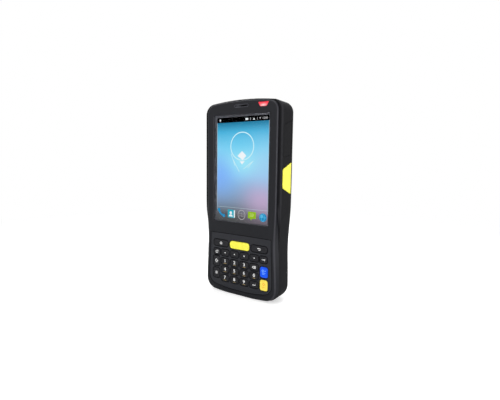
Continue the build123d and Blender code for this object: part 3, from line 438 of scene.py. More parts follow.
def moulded_grain():
    """Fine cells of a spark-eroded mould: soft noise plus half of the distance to small cells' middles."""
    book, given, leave, place = effect_group(
        "moulded_grain", {"Scale": 3500.0, "Depth": 0.01 * MM}, ["Normal"]
    )
    inputs = {"Vector": place, "Scale": book.maths("MULTIPLY", given["Scale"], 0.7)}
    cells = book.add("ShaderNodeTexVoronoi", inputs, feature="SMOOTH_F1").outputs["Distance"]
    height = book.maths("MULTIPLY_ADD", cells, 0.5, book.noise(place, given["Scale"], 2.0, 0.55))
    book.feed(leave, {"Normal": book.bump(height, given["Depth"])})


def handling():
    """What hands leave: broad soft patches and small smears that shift the gloss and the tone a little."""
    book, given, leave, place = effect_group(
        "handling", {"Roughness": 0.5, "Spread": 0.08}, ["Roughness", "Tone"]
    )
    broad = book.maths("MULTIPLY", book.noise(place, 35.0, 3.0, 0.6), 0.5)
    smears = book.noise(book.mapped(place, (320.0, 320.0, 120.0)), 1.0, 4.0, 0.65)
    centred = book.maths("SUBTRACT", book.maths("MULTIPLY_ADD", smears, 0.5, broad), 0.5)
    reach = book.maths("MULTIPLY", given["Spread"], 4.0)
    rough = book.maths("MULTIPLY_ADD", centred, reach, given["Roughness"])
    tone = book.maths("MULTIPLY_ADD", centred, 3.0, 0.7)
    book.feed(leave, {"Roughness": book.maths("MAXIMUM", rough, 0.03), "Tone": tone})


def edge_wear():
    """Where a rounded front edge is lighter, partly from rubbing and partly as a painted highlight that the
    edge catches: a band between two depths behind the foremost face, which noise breaks up."""
    book, given, leave, place = effect_group("edge_wear", {"Front": 0.0, "Depth": 1.5 * MM}, ["Mask"])
    behind = book.maths("SUBTRACT", book.part(place, "Y"), given["Front"])
    share = book.maths("DIVIDE", behind, given["Depth"])
    band = book.maths("MULTIPLY", book.ramp(share, 0.01, 0.2), book.ramp(share, 0.6, 1.0, 1.0, 0.0))
    band_breaks = book.maths("MULTIPLY_ADD", book.noise(place, 150.0, 3.0, 0.6), 0.8, 0.5)
    book.feed(leave, {"Mask": book.maths("MINIMUM", book.maths("MULTIPLY", band, band_breaks), 1.0)})


def drawn_lines():
    """Fine lines left by rolling or brushing: noise drawn out along Z."""
    book, given, leave, place = effect_group("drawn_lines", {"Depth": 0.004 * MM}, ["Normal"])
    height = book.noise(book.mapped(place, (1.0, 1.0, 0.04)), 6000.0, 2.0, 0.6)
    book.feed(leave, {"Normal": book.bump(height, given["Depth"])})


EFFECTS = {maker.__name__: maker for maker in (moulded_grain, handling, edge_wear, drawn_lines)}


def scaled(colour, share):
    """A colour made darker or lighter."""
    return tuple(part * share for part in colour)


def new_material(name):
    """A material with its Principled shader and its node book."""
    material = bpy.data.materials.new(name)
    material.use_nodes = True
    shader = material.node_tree.nodes["Principled BSDF"]
    return material, shader, NodeBook(material.node_tree)


def toned(book, colour, tone):
    """A colour that a tone from zero to one takes from a little darker up to itself."""
    return book.blend(tone, scaled(colour, 0.84), colour)


def plastic(name, colour, roughness=0.5, spread=0.06, grain=1.0, size=1.0, specular=0.35, worn_and_lit=None):
    """Moulded plastic: grain in the surface, handling in its gloss and tone, and lighter front edges, partly
    worn and partly a painted highlight, where the last argument names a node, the depth of its rounding and
    the lighter colour."""
    finish = bpy.context.scene.terminal_finish
    material, shader, book = new_material(name)
    touch = book.effect("handling", {"Roughness": roughness, "Spread": spread})
    mould = {"Scale": 1.0 / (finish.grain_size * size), "Depth": finish.grain_depth * grain}
    tone = toned(book, colour, touch["Tone"])
    if worn_and_lit:
        node, depth, lighter = worn_and_lit
        edge_band = book.effect("edge_wear", {"Front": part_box(node)[0].y, "Depth": depth})
        tone = book.blend(edge_band["Mask"], tone, lighter)
    book.feed(shader, {
        "Base Color": tone, "Roughness": touch["Roughness"], "Specular IOR Level": specular,
        "Normal": book.effect("moulded_grain", mould)["Normal"],
    })
    return material


def metal(name, colour, roughness=0.32, depth=0.004 * MM):
    """Drawn or plated metal: fine lines in the surface and handling in its gloss."""
    material, shader, book = new_material(name)
    touch = book.effect("handling", {"Roughness": roughness, "Spread": 0.08})
    book.feed(shader, {
        "Base Color": toned(book, colour, touch["Tone"]), "Roughness": touch["Roughness"], "Metallic": 1.0,
        "Normal": book.effect("drawn_lines", {"Depth": depth})["Normal"],
    })
    return material


def pane(name, colour, roughness=0.02, specular=0.5, ior=1.3):
    """A clear or tinted pane: light passes through, and faint smears change its gloss."""
    material, shader, book = new_material(name)
    touch = book.effect("handling", {"Roughness": roughness, "Spread": 0.012})
    book.feed(shader, {
        "Base Color": (*colour, 1.0), "Roughness": touch["Roughness"], "Transmission Weight": 1.0,
        "Specular IOR Level": specular, "IOR": ior,
    })
    return material


def circuit_board(name, colour):
    """Solder resist over copper: the borders of small cells stand out as lighter, glossier traces."""
    cells, trace_width, thickness = 420.0, 0.09, 0.03 * MM
    material, shader, book = new_material(name)
    inputs = {"Vector": book.place(), "Scale": cells}
    border = book.add("ShaderNodeTexVoronoi", inputs, feature="DISTANCE_TO_EDGE").outputs["Distance"]
    trace = book.maths("LESS_THAN", border, trace_width)
    book.feed(shader, {
        "Base Color": book.blend(trace, colour, scaled(colour, 2.1)),
        "Roughness": book.maths("MULTIPLY_ADD", trace, -0.08, 0.34),
        "Normal": book.bump(trace, thickness),
    })
    return material


def light_up(book, shader, colour, strength):
    """Makes a surface black by itself and lit from within."""
    book.feed(shader, {
        "Emission Color": colour, "Emission Strength": strength,
        "Base Color": BLACK, "Specular IOR Level": 0.0,
    })


def glowing(name, colour, strength):
    """A part of the lit picture, lit evenly with a faint pixel pitch."""
    pitch, flicker = 9000.0, 0.04
    material, shader, book = new_material(name)
    share = book.maths("MULTIPLY_ADD", book.noise(book.place(), pitch, 0.0), flicker, 1.0 - flicker)
    light_up(book, shader, book.blend(share, BLACK, colour), strength)
    book.feed(shader, {"Roughness": 0.6})
    return material


def painted_light_across(material, name, left, right):
    """Paints light and shade into a material's colour: it runs from one colour to another left of the middle
    of a node's width.
    """
    low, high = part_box(name)
    width = high.x - low.x
    start, end = low.x + 0.3 * width, low.x + 0.5 * width
    book = NodeBook(material.node_tree)
    share = book.ramp(book.part(book.place(), "X"), start, end)
    book.feed(material.node_tree.nodes["Principled BSDF"], {"Base Color": book.blend(share, left, right)})


def dress(nodes, material):
    """Gives CAD nodes a material in every slot."""
    for name in nodes:
        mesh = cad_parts[name].data
        mesh.materials.clear()
        mesh.materials.append(material)


# ---------------------------------------------------------------- casing


class OBJECT_OT_terminal_casing(bpy.types.Operator):
    """Finish the housings, covers and side keys"""

    bl_idname = "object.terminal_casing"
    bl_label = "Casing"

    def execute(self, context):
        finish = context.scene.terminal_finish
        # The lighter colours here make the rounded front edges of both housings lighter: partly wear, partly
        # a painted highlight.
        front_edge = ("front_housing", 1.5 * MM, (0.036, 0.036, 0.043))
        front = plastic("front_plastic", finish.front, 0.42, grain=0.6, specular=0.15, worn_and_lit=front_edge)
        panel = plastic("panel_plastic", scaled(finish.front, 1.6), 0.42, grain=0.6, specular=0.20)
        rear_edge = ("rear_housing", 2.2 * MM, (0.024, 0.024, 0.027))
        rear = plastic("rear_plastic", finish.rear, 0.60, grain=1.5, size=1.5, specular=0.06, worn_and_lit=rear_edge)
        yellow = plastic("yellow_plastic", finish.yellow, 0.34, spread=0.04, grain=0.35, specular=0.4)
        dress(["front_housing"], front)
        dress(["keypad_panel"], panel)
        dress(["rear_housing", "battery_cover"], rear)
        small_part = plastic("small_part_plastic", finish.dark_key, 0.4, grain=0.5)
        dress(["battery_latch", "volume_rocker"], small_part)
        dress(["port_cover"], plastic("port_rubber", finish.rear, 0.64, grain=1.2, specular=0.08))
        dress(["right_scan_key", "left_scan_key"], yellow)
        return {"FINISHED"}


class OBJECT_OT_terminal_insides(bpy.types.Operator):
    """Finish the boards, sheet metal, battery and small parts inside"""

    bl_idname = "object.terminal_insides"
    bl_label = "Insides"

    def execute(self, context):
        finish = context.scene.terminal_finish
        steel = metal("plated_steel", finish.steel)
        dress(["lcd_frame", "usb_socket", "shield_cans", "card_holder", "ear_receiver", "key_domes"], steel)
        cloth_black = (0.0012, 0.0012, 0.0016)
        cloth = plastic("mesh_cloth", cloth_black, 0.8, grain=4.0, specular=0.05)
        # The ear cloth is painted lighter at its left end and near black at its right: painted light and
        # shade in the slot's recess.
        painted_light_across(cloth, "ear_mesh", (0.060, 0.062, 0.070), cloth_black)
        dress(["ear_mesh"], cloth)
        dress(["housing_screws"], metal("black_zinc", scaled(finish.steel, 0.2), 0.45))
        alloy = metal("cast_alloy", (0.33, 0.33, 0.34), 0.5, depth=0.01 * MM)
        dress(["inner_chassis", "scan_engine"], alloy)
        dress(["cradle_contacts", "battery_contacts"], metal("gold_plate", finish.gold, 0.25))
        dress(["main_board", "keypad_board"], circuit_board("resist_board", finish.board))
        dress(["keypad_mat"], plastic("grey_silicone", (0.09, 0.09, 0.10), 0.7, grain=0.5))
        dress(["screen_gasket"], plastic("black_foam", (0.03, 0.03, 0.034), 0.9, grain=4.0, size=2.0))
        switch = plastic("switch_plastic", (0.012, 0.012, 0.013))
        dress(["side_switches", "camera_module", "loudspeaker"], switch)
        dress(["battery_pack"], plastic("cell_wrap", (0.02, 0.02, 0.022), 0.35, grain=0.4, size=3.0))
        return {"FINISHED"}


class OBJECT_OT_terminal_panes(bpy.types.Operator):
    """Finish the glass, scanner window, camera panes and indicator"""

    bl_idname = "object.terminal_panes"
    bl_label = "Panes"

    def execute(self, context):
        finish = context.scene.terminal_finish
        dress(["touch_glass"], pane("touch_pane", (1.0, 1.0, 1.0), 0.015, specular=0.10, ior=1.07))
        dress(["scan_window"], pane("scanner_pane", (0.28, 0.012, 0.02)))
        dress(["camera_window"], pane("camera_pane", (0.10, 0.10, 0.13)))
        dress(["flash_lens"], plastic("flash_plastic", (0.75, 0.72, 0.45), 0.3, grain=2.0, size=3.0))
        dress(["lcd_panel"], plastic("display_black", (0.004, 0.004, 0.005), 0.3, grain=0.2))
        dress(["indicator_lens"], self.indicator(finish))
        return {"FINISHED"}

    def indicator(self, finish):
        """Red plastic that glows faintly, with a painted highlight: a paler soft ball at its lower middle
        that is wider than it is high.
        """
        material, shader, book = new_material("indicator_red")
        low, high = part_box("indicator_lens")
        drop, glow = 0.9 * MM, 0.12
        ball_middle = (low + high) / 2 - Vector((0.0, 0.0, drop))
        stretch = Vector((180.0, 0.0, 420.0))
        shift = [-part * share for part, share in zip(ball_middle, stretch)]
        inputs = {"Vector": book.mapped(book.place(), stretch, shift)}
        ball = book.add("ShaderNodeTexGradient", inputs, gradient_type="QUADRATIC_SPHERE").outputs["Fac"]
        lit = book.blend(ball, finish.lens, finish.lens_highlight)
        touch = book.effect("handling", {"Roughness": 0.16, "Spread": 0.03})
        book.feed(shader, {
            "Base Color": lit, "Emission Color": lit, "Emission Strength": glow,
            "Roughness": touch["Roughness"],
        })
        return material


# ---------------------------------------------------------------- keypad


def key_form(name):
    """The cap of a key node, taken from the frame: its middle, then its half width, half height and corner
    radius, which follows the kind of key, and the depths of its face and its back."""
    keys = bpy.context.scene.terminal_keys
    low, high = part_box(name)
    half_width = (high.x - low.x) / 2 - keys.flange
    half_height = (high.z - low.z) / 2 - keys.flange
    narrow = TALL_CORNER if half_height > half_width else SMALL_CORNER
    corner = next((radius for width, radius in WIDE_CORNERS if half_width > width), narrow)
    return (low + high) / 2, np.array([half_width, half_height, corner]), low.y, high.y


def cap_depth(across, up, form):
    """How far a cap's face lies behind its rim: a quarter circle at the edge, then a smooth dish."""
    keys = bpy.context.scene.terminal_keys
    inside = inside_depth(across, up, *form)
    edge = keys.edge
    rim = edge - np.sqrt(np.maximum(edge**2 - np.clip(edge - inside, 0.0, edge) ** 2, 0.0))
    return rim + keys.dish * smooth_step((inside - edge) / keys.dish_width)


def key_cap(name, material):
    """A cap as rings: up its side, over its rounded edge, then shrinking onto its face's middle line."""
    keys = bpy.context.scene.terminal_keys
    edge_rings, face_rings = 6, 8
    middle, form, face_y, back_y = key_form(name)
    insets = keys.edge * (1.0 - np.cos(np.linspace(0.0, math.pi / 2, edge_rings)))
    rims = [rounded_ring(*(form - inset), keys.corner_steps) for inset in insets]
    longer = form[0] - form[1]
    reach = np.maximum([longer, -longer], 0.0)
    line = np.clip(rims[-1], -reach, reach)
    shares = np.linspace(0.0, 1.0, face_rings + 1)[1:]
    rings = np.stack(rims + [rims[-1] * (1.0 - share) + line * share for share in shares])
    flange = rounded_ring(*(form + keys.flange), keys.corner_steps)
    flange_y = back_y - keys.flange_thickness
    under_y = np.repeat([[back_y], [back_y], [flange_y], [flange_y]], len(flange), axis=1)
    flat = np.concatenate([np.stack([line, flange, flange, rims[0]]), rings])
    depths = np.concatenate([under_y, face_y + cap_depth(rings[..., 0], rings[..., 1], form)])
    points = np.stack([middle.x + flat[..., 0], depths, middle.z + flat[..., 1]], axis=-1).reshape(-1, 3)
    faces = grid_faces(len(flat), len(flange), closed=True)
    cap = new_piece(name.replace("key_", "cap_"), points, faces, name, material, merge=2 * CLOSE)
    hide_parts(name)
    return cap


def on_cap(name, parts):
    """Moves the points of drawn parts from the rim's plane onto a key's dished face."""
    middle, form, face_y, _ = key_form(name)
    points, faces = joined(parts)
    depth = face_y + cap_depth(points[:, 0], points[:, 2], form)
    moved = np.column_stack([np.full(len(points), middle.x), depth, np.full(len(points), middle.z)])
    return points + moved, faces


class Pen:
    """Draws the parts of a legend in millimetres about the middle of a key."""

    def __init__(self):
        keys = bpy.context.scene.terminal_keys
        self.low, self.high = -keys.print_height, keys.print_height
        self.stroke = keys.stroke
        self.size = keys.digit_size
        self.parts = []

    def line(self, *path, closed=False, width=1.0):
        """A line through points in millimetres, as wide as the stroke times width."""
        drawn = np.asarray(path, float).reshape(-1, 2) * MM
        self.parts.append(ribbon(drawn, self.stroke * width, self.low, self.high, closed))

    def fill(self, *outline):
        """A filled shape from its corner points in millimetres."""
        drawn = np.asarray(outline, float).reshape(-1, 2) * MM
        self.parts.append(prism(drawn, self.low, self.high))

    def text(self, text, middle):
        """Digits about a middle in millimetres."""
        place = (middle[0] * MM, middle[1] * MM)
        self.parts.append(set_text(text, self.size, place, self.low, self.high))


def draw_home(pen):
    """A house: roof, walls and door."""
    pen.line((-1.25, -0.1), (0.0, 1.0), (1.25, -0.1))
    pen.line((-0.85, 0.1), (-0.85, -1.0), (0.85, -1.0), (0.85, 0.1))
    pen.line((0.0, -1.0), (0.0, -0.3))


def draw_back(pen):
    """An arrow that turns back to the left."""
    bend = arc((0.7, -0.1), 0.65, 90.0, -90.0, 12)
    pen.line(*np.concatenate([[(-1.0, 0.55)], bend, [(-0.5, -0.75)]]))
    pen.fill((-1.7, 0.55), (-0.75, 1.2), (-0.75, -0.1))


def draw_triangle(turn):
    """A drawer of a small solid triangle that points to a number of degrees."""
    return lambda pen: pen.fill(*(circle((0.0, 0.0), 0.8, 3) @ turn_matrix(turn)))


def turn_matrix(degrees):
    """Turns row vectors anticlockwise."""
    angle = math.radians(degrees)
    return np.array([[math.cos(angle), math.sin(angle)], [-math.sin(angle), math.cos(angle)]])


def draw_escape(pen):
    """A ring with an arrow that leaves it."""
    pen.line(*arc((-0.2, -0.2), 1.05, 80.0, 370.0, 22))
    pen.line((-0.2, -0.2), (0.85, 0.85))
    pen.fill((1.3, 1.3), (0.35, 1.15), (1.15, 0.35))


def draw_tab(pen):
    """An arrow against a bar."""
    pen.line((-1.5, 0.0), (0.5, 0.0))
    pen.fill((1.15, 0.0), (0.25, 0.7), (0.25, -0.7))
    pen.line((1.4, 0.8), (1.4, -0.8))


def draw_shift(pen):
    """An open arrow that points up."""
    right = [(1.4, 0.1), (0.65, 0.1), (0.65, -1.2)]
    left = [(-across, up) for across, up in reversed(right)]
    pen.line((0.0, 1.6), *right, *left, closed=True)


def draw_symbol(pen):
    """Two bars across two bars."""
    for place in (-0.5, 0.5):
        pen.line((place - 0.15, -1.3), (place + 0.15, 1.3))
        pen.line((-1.25, place), (1.25, place))


def draw_backspace(pen):
    """A tag that points left, with a cross in it."""
    pen.line((-1.6, 0.0), (-0.75, 0.85), (1.5, 0.85), (1.5, -0.85), (-0.75, -0.85), closed=True)
    pen.line((-0.15, 0.4), (0.85, -0.4))
    pen.line((-0.15, -0.4), (0.85, 0.4))


def draw_enter(pen):
    """An arrow that comes down and turns left."""
    pen.line((1.4, 0.9), (1.4, -0.35), (-0.6, -0.35))
    pen.fill((-1.5, -0.35), (-0.5, 0.35), (-0.5, -1.05))


def draw_blue(pen):
    """A ring and a dot over two short bars."""
    pen.line(*circle((-1.0, 1.3), 0.7), closed=True)
    pen.fill(*circle((1.2, 1.3), 0.45, 12))
    pen.line((-1.5, -0.4), (1.5, -0.4))
    pen.line((-1.5, -1.4), (0.6, -1.4))


def draw_orange(pen):
    """A lozenge over a bar."""
    pen.line((0.0, 2.2), (1.1, 1.0), (0.0, -0.2), (-1.1, 1.0), closed=True)
    pen.line((-1.3, -1.6), (1.3, -1.6))


def draw_digit(digit):
    """A drawer of a digit set a little high."""
    return lambda pen: pen.text(digit, (0.0, 0.55))


DRAWERS = {
    "home": draw_home, "back": draw_back, "escape": draw_escape, "tab": draw_tab, "shift": draw_shift,
    "symbol": draw_symbol, "backspace": draw_backspace, "enter": draw_enter, "function_blue": draw_blue,
    "function_orange": draw_orange, "left": draw_triangle(180.0), "up": draw_triangle(90.0),
    "down": draw_triangle(-90.0), "right": draw_triangle(0.0),
    **{digit: draw_digit(digit) for digit in "0123456789"},
}


class OBJECT_OT_terminal_keypad(bpy.types.Operator):
    """Build the dished key caps in place of the plain keys"""

    bl_idname = "object.terminal_keypad"
    bl_label = "Key caps"

    def execute(self, context):
        finish = context.scene.terminal_finish
        bright = {"roughness": 0.33, "spread": 0.04, "grain": 0.35}
        dark = plastic("key_plastic", finish.dark_key, 0.4, grain=0.4, specular=0.21)
        special = {
            "key_scan": bpy.data.materials["yellow_plastic"],
            "key_function_blue": plastic("blue_plastic", finish.blue, specular=0.2, **bright),
            "key_function_orange": plastic("orange_plastic", finish.orange, **bright),
        }
        for name in KEY_NODES:
            key_cap(name, special.get(name, dark))
        return {"FINISHED"}


def rim_loop(name):
    """The outer edge of a flat node's front face as points (x, z), and that face's depth: the free edges of
    the foremost faces, walked from the lowest point."""
    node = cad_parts[name]
    work = bmesh.new()
    work.from_mesh(node.data)
    work.transform(node.matrix_world)
    bmesh.ops.remove_doubles(work, verts=work.verts, dist=2 * CLOSE)
    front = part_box(name)[0].y
    faces = {face for face in work.faces if all(vert.co.y < front + 0.01 * MM for vert in face.verts)}
    edges = {edge for face in faces for edge in face.edges}
    rim = {edge for edge in edges if sum(face in faces for face in edge.link_faces) == 1}
    point = min((vert for edge in rim for vert in edge.verts), key=lambda vert: vert.co.z)
    loop = []
    while edge := next((edge for edge in point.link_edges if edge in rim), None):
        rim.remove(edge)
        loop.append((point.co.x, point.co.z))
        point = edge.other_vert(point)
    work.free()
    return np.array(loop), front


class OBJECT_OT_terminal_wells(bpy.types.Operator):
    """Paint shade and light on the front: dark lines round the key openings and along the panel's edge stand
    in for the shadow in their gaps, and a pale line round the ear slot is a painted highlight on its edge
    """

    bl_idname = "object.terminal_wells"
    bl_label = "Seals"

    def execute(self, context):
        finish, keys = context.scene.terminal_finish, context.scene.terminal_keys
        panel, front = rim_loop("keypad_panel")
        shadow_paths = [(inset(panel, keys.seam / 2), keys.seam)]
        for name in KEY_NODES:
            middle, form, _, _ = key_form(name)
            around = rounded_ring(*(form + keys.well_gap + keys.well / 2), keys.corner_steps)
            shadow_paths.append((around + (middle.x, middle.z), keys.well))
        # Near-black lines that stand in for the shade in the gaps round the caps and the panel: painted
        # shadow.
        shadow = plastic("seal_black", (0.0018, 0.0018, 0.0024), 0.7, grain=0.5, specular=0.05)
        self.trim("keypad_seals", shadow_paths, front, shadow)
        # A pale line round the ear slot stands in for the highlight on the slot's edge: painted highlight.
        glint = plastic("rim_bevel", scaled(finish.front, 6.5), 0.4, grain=0.4)
        glint_width = 0.26 * MM
        self.trim("ear_rim", [(self.ear_path(), glint_width)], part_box("front_housing")[0].y, glint)
        return {"FINISHED"}

    def trim(self, name, paths, front, material):
        """Closed flat lines, each a path and its width, that stand a print's height out of a front face."""
        height = bpy.context.scene.terminal_keys.print_height
        parts = [ribbon(path, width, front - height, front + height, closed=True) for path, width in paths]
        points, faces = joined(parts)
        new_piece(name, points, faces, MAIN_BODY, material, smooth=False, merge=CLOSE)

    def ear_path(self):
        """A long slot with round ends, a little inside the edge of the ear's cloth."""
        low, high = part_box("ear_mesh")
        side_in, rise_in, steps = 0.6 * MM, 0.3 * MM, 9
        half_width = (high.x - low.x) / 2 - side_in
        half_height = (high.z - low.z) / 2 - rise_in
        slot = rounded_ring(half_width, half_height, half_height * 0.99, steps)
        return slot + ((low.x + high.x) / 2, (low.z + high.z) / 2)


class OBJECT_OT_terminal_legends(bpy.types.Operator):
    """Print the digits and pictograms on the key caps"""

    bl_idname = "object.terminal_legends"
    bl_label = "Legends"

    def execute(self, context):
        finish = context.scene.terminal_finish
        white, tan, sky, rust = (
            plastic("legend_" + name, getattr(finish, "print_" + name), spread=0.03, grain=0.2)
            for name in ("white", "tan", "sky", "rust")
        )
        inks = {"function_blue": sky, "function_orange": rust}
        for label, draw in DRAWERS.items():
            key = "key_" + label
            pen = Pen()
            draw(pen)
            self.print_on(key, "legend_" + label, pen, inks.get(label, white))
            if label.isdigit():
                self.print_on(key, "second_" + key, self.second_mark(int(label)), tan)
        return {"FINISHED"}

    def print_on(self, key, name, pen, ink):
        """Puts what a pen drew onto a key's cap."""
        points, faces = on_cap(key, pen.parts)
        new_piece(name, points, faces, key, ink, smooth=False)

    def second_mark(self, number):
        """A short row of dots and a bar, one dot more than the number's remainder by three."""
        pen = Pen()
        left, right, low, step = -0.9, 1.35, -1.8, 0.62
        dots = number % 3 + 1
        for dot in range(dots):
            pen.fill(*circle((left + step * dot, low), 0.24, 10))
        pen.line((left + step * dots, low), (right, low), width=0.95)
        return pen


# ---------------------------------------------------------------- screen


# The lit colours of the picture's drawings.
LIT = {
    "white": (0.88, 0.93, 0.95), "grey": (0.50, 0.50, 0.52), "pale": (0.62, 0.92, 1.0),
    "faint": (0.66, 0.93, 1.0), "snow": (0.93, 0.97, 1.0), "edge": (0.62, 0.80, 0.90),
    "blue": (0.02, 0.27, 0.55), "teal": (0.03, 0.42, 0.56), "green": (0.30, 0.52, 0.02),
    "sky": (0.10, 0.50, 0.78), "lime": (0.62, 0.80, 0.22),
}
# The wallpaper's tones from its foot to its top, each at a share of the height from the middle.
TONES = (
    (-0.5, (0.080, 0.084, 0.084)),
    (-0.43, (0.095, 0.102, 0.105)),
    (-0.39, (0.15, 0.185, 0.21)),
    (-0.30, (0.22, 0.31, 0.43)),
    (-0.05, (0.27, 0.57, 0.93)),
    (0.2, (0.24, 0.69, 0.95)),
    (0.36, (0.07, 0.46, 0.74)),
    (0.44, (0.02, 0.22, 0.39)),
    (0.5, (0.02, 0.18, 0.33)),
)
# Its glows, one after the other: middle and reach as shares of the picture's size, tint and strength.
GLOWS = (
    ((0.03, 0.08), (0.40, 0.14), (0.37, 0.88, 1.0), 0.88),
    ((-0.44, -0.06), (0.30, 0.20), (0.20, 0.42, 1.0), 0.65),
    ((0.40, -0.26), (0.34, 0.17), (0.60, 0.40, 0.62), 0.78),
    ((0.42, 0.05), (0.26, 0.22), (0.40, 0.66, 0.92), 0.55),
    ((0.0, 0.24), (0.45, 0.10), (0.10, 0.58, 0.90), 0.45),
)


def wallpaper_colour(across, up):
    """The wallpaper's colour at places from -0.5 to 0.5 both ways: a tall gradient with soft round glows,
    where a glow's share is exp(-d^2) of the distance to its middle over its reach."""
    heights, tones = zip(*TONES)
    colour = np.stack([np.interp(up, heights, part) for part in zip(*tones)], axis=-1)
    for middle, reach, tint, strength in GLOWS:
        distance = ((across - middle[0]) / reach[0]) ** 2 + ((up - middle[1]) / reach[1]) ** 2
        share = (strength * np.exp(-distance))[..., None]
        colour = colour * (1.0 - share) + np.array(tint) * share
    return colour


class OBJECT_OT_terminal_screen(bpy.types.Operator):
    """Build the lit picture behind the touch glass"""

    bl_idname = "object.terminal_screen"
    bl_label = "Screen"

    def execute(self, context):
        self.screen = context.scene.terminal_screen
        self.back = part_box("lcd_panel")[0].y - 0.02 * MM
        self.half_width = self.screen.width / 2 / MM
        self.half_height = self.screen.height / 2 / MM
        self.wallpaper()
        self.border()
        self.status_bar()
        self.ring()
        self.edges()
        signs_up = 6.3  # the signs' middle above the picture's foot, in millimetres
        for sign in (self.sign_call, self.sign_card, self.sign_menu, self.sign_note, self.sign_globe):
            sign(signs_up - self.half_height)
        return {"FINISHED"}

    def lit(self, name):
        """The material of a lit colour, made when it is first asked for."""
        label = "lit_" + name
        return bpy.data.materials.get(label) or glowing(label, LIT[name], self.screen.glow)

    def layer(self, level):
        """The depth of a layer of the picture: each lies a little in front of the one before."""
        return self.back - level * self.screen.layer

    def depths(self, level):
        """The front and the back of what is drawn on a layer."""
        return self.layer(level), self.layer(level) + self.screen.layer * 0.5

    def drawing(self, name, parts, material):
        """A piece of the picture from drawn parts in millimetres about the picture's middle."""
        points, faces = joined(parts)
        points[:, 0] = points[:, 0] * MM + self.screen.shift
        points[:, 2] = points[:, 2] * MM + self.screen.middle
        new_piece(name, points, faces, MAIN_BODY, material, smooth=False)

    def stroke(self, path, width, level, closed=False):
        """A drawn line of the picture, in millimetres."""
        return ribbon(path, width, *self.depths(level), closed)

    def patch(self, outline, level):
        """A drawn filled shape of the picture, in millimetres."""
        return prism(outline, *self.depths(level))

    def wallpaper(self):
        """A closed sheet: each row runs along its front and back behind it, and each point has a colour."""
        screen = self.screen
        across = np.linspace(-0.5, 0.5, 72)
        up = np.linspace(-0.5, 0.5, 118)
        grids = np.meshgrid(across, up)
        loop_x, loop_z = (np.concatenate([grid, grid[:, ::-1]], axis=1) for grid in grids)
        behind = np.repeat([0.0, 1.0], len(across)) * screen.layer
        points = np.column_stack([
            loop_x.ravel() * screen.width + screen.shift,
            np.tile(self.layer(0) + behind, len(up)),
            loop_z.ravel() * screen.height + screen.middle,
        ])
        ring = np.arange(2 * len(across))
        ends = [ring[::-1].tolist(), (ring + len(points) - len(ring)).tolist()]
        faces = grid_faces(len(up), len(ring), closed=True).tolist() + ends
        material, shader, book = new_material("lit_wallpaper")
        piece = new_piece("wallpaper", points, faces, MAIN_BODY, material, smooth=False)
        colour = wallpaper_colour(loop_x, loop_z).reshape(-1, 3)
        stored = np.column_stack([colour, np.ones(len(colour))]).astype(np.float32)
        picture = piece.data.color_attributes.new("picture", "FLOAT_COLOR", "POINT")
        picture.data.foreach_set("color", stored.ravel())
        painted = book.add("ShaderNodeAttribute", attribute_name="picture").outputs["Color"]
        light_up(book, shader, painted, screen.glow)

    def border(self):
        """The dark print behind the glass, from the picture's edge out under the window's rim."""
        screen = self.screen
        low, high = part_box("touch_glass")
        under, outer_corner, inner_corner, steps = MM, 1.5 * MM, 0.2 * MM, 5
        half_width, half_height = (high.x - low.x) / 2 - under, (high.z - low.z) / 2 - under
        outer = rounded_ring(half_width, half_height, outer_corner, steps)
        inner = rounded_ring(screen.width / 2, screen.height / 2, inner_corner, steps)
        inner = inner + (screen.shift, 0.0)
        front, back = self.layer(3), self.layer(2)
        rings = ((inner, back), (outer, back), (outer, front), (inner, front), (inner, back))
        points = np.concatenate([
            np.column_stack([ring[:, 0], np.full(len(ring), depth), ring[:, 1] + screen.middle])
            for ring, depth in rings
        ])
        faces = grid_faces(len(rings), 4 * steps, closed=True)
        dark = plastic("border_print", (0.085, 0.087, 0.10), grain=0.1, specular=0.02)
        new_piece("screen_border", points, faces, MAIN_BODY, dark, smooth=False, merge=CLOSE)

    def status_bar(self):
        """The black bar with its marks: a pin on the left, small signs and the time on the right."""
        half, top = self.half_width, self.half_height
        low = top - self.screen.bar / MM
        middle = (top + low) / 2 - 0.1
        black = plastic("bar_print", (0.0004, 0.0004, 0.0005), grain=0.1, specular=0.0)
        bar = [(-half, low), (half, low), (half, top), (-half, top)]
        self.drawing("status_bar", [self.patch(bar, 1)], black)
        left = -half + 3.2
        label = [(3.2, -0.8), (5.4, -0.8), (6.2, 0.0), (5.4, 0.8), (3.2, 0.8)]
        self.drawing("status_marks", [
            self.patch(circle((left, middle + 0.25), 0.75, 16), 3),
            self.patch([(left - 0.5, middle), (left, middle - 1.35), (left + 0.5, middle)], 3),
            self.patch([(across, middle + up) for across, up in label], 3),
            self.stroke([(8.0, middle - 1.0), (8.0, middle + 1.0)], 0.26, 3),
            self.patch([(10.4, middle - 0.9), (12.3, middle - 0.9), (11.3, middle + 0.8)], 3),
        ], self.lit("white"))
        self.drawing("status_clock", [
            self.stroke([(14.5, middle - 0.9), (14.5, middle + 0.9)], 0.3, 3),
            self.patch([(16.3, middle + 0.7), (17.9, middle + 0.7), (17.1, middle - 0.7)], 3),
            set_text("12:00", 2.2, (21.7, middle), *self.depths(3)),
        ], self.lit("grey"))

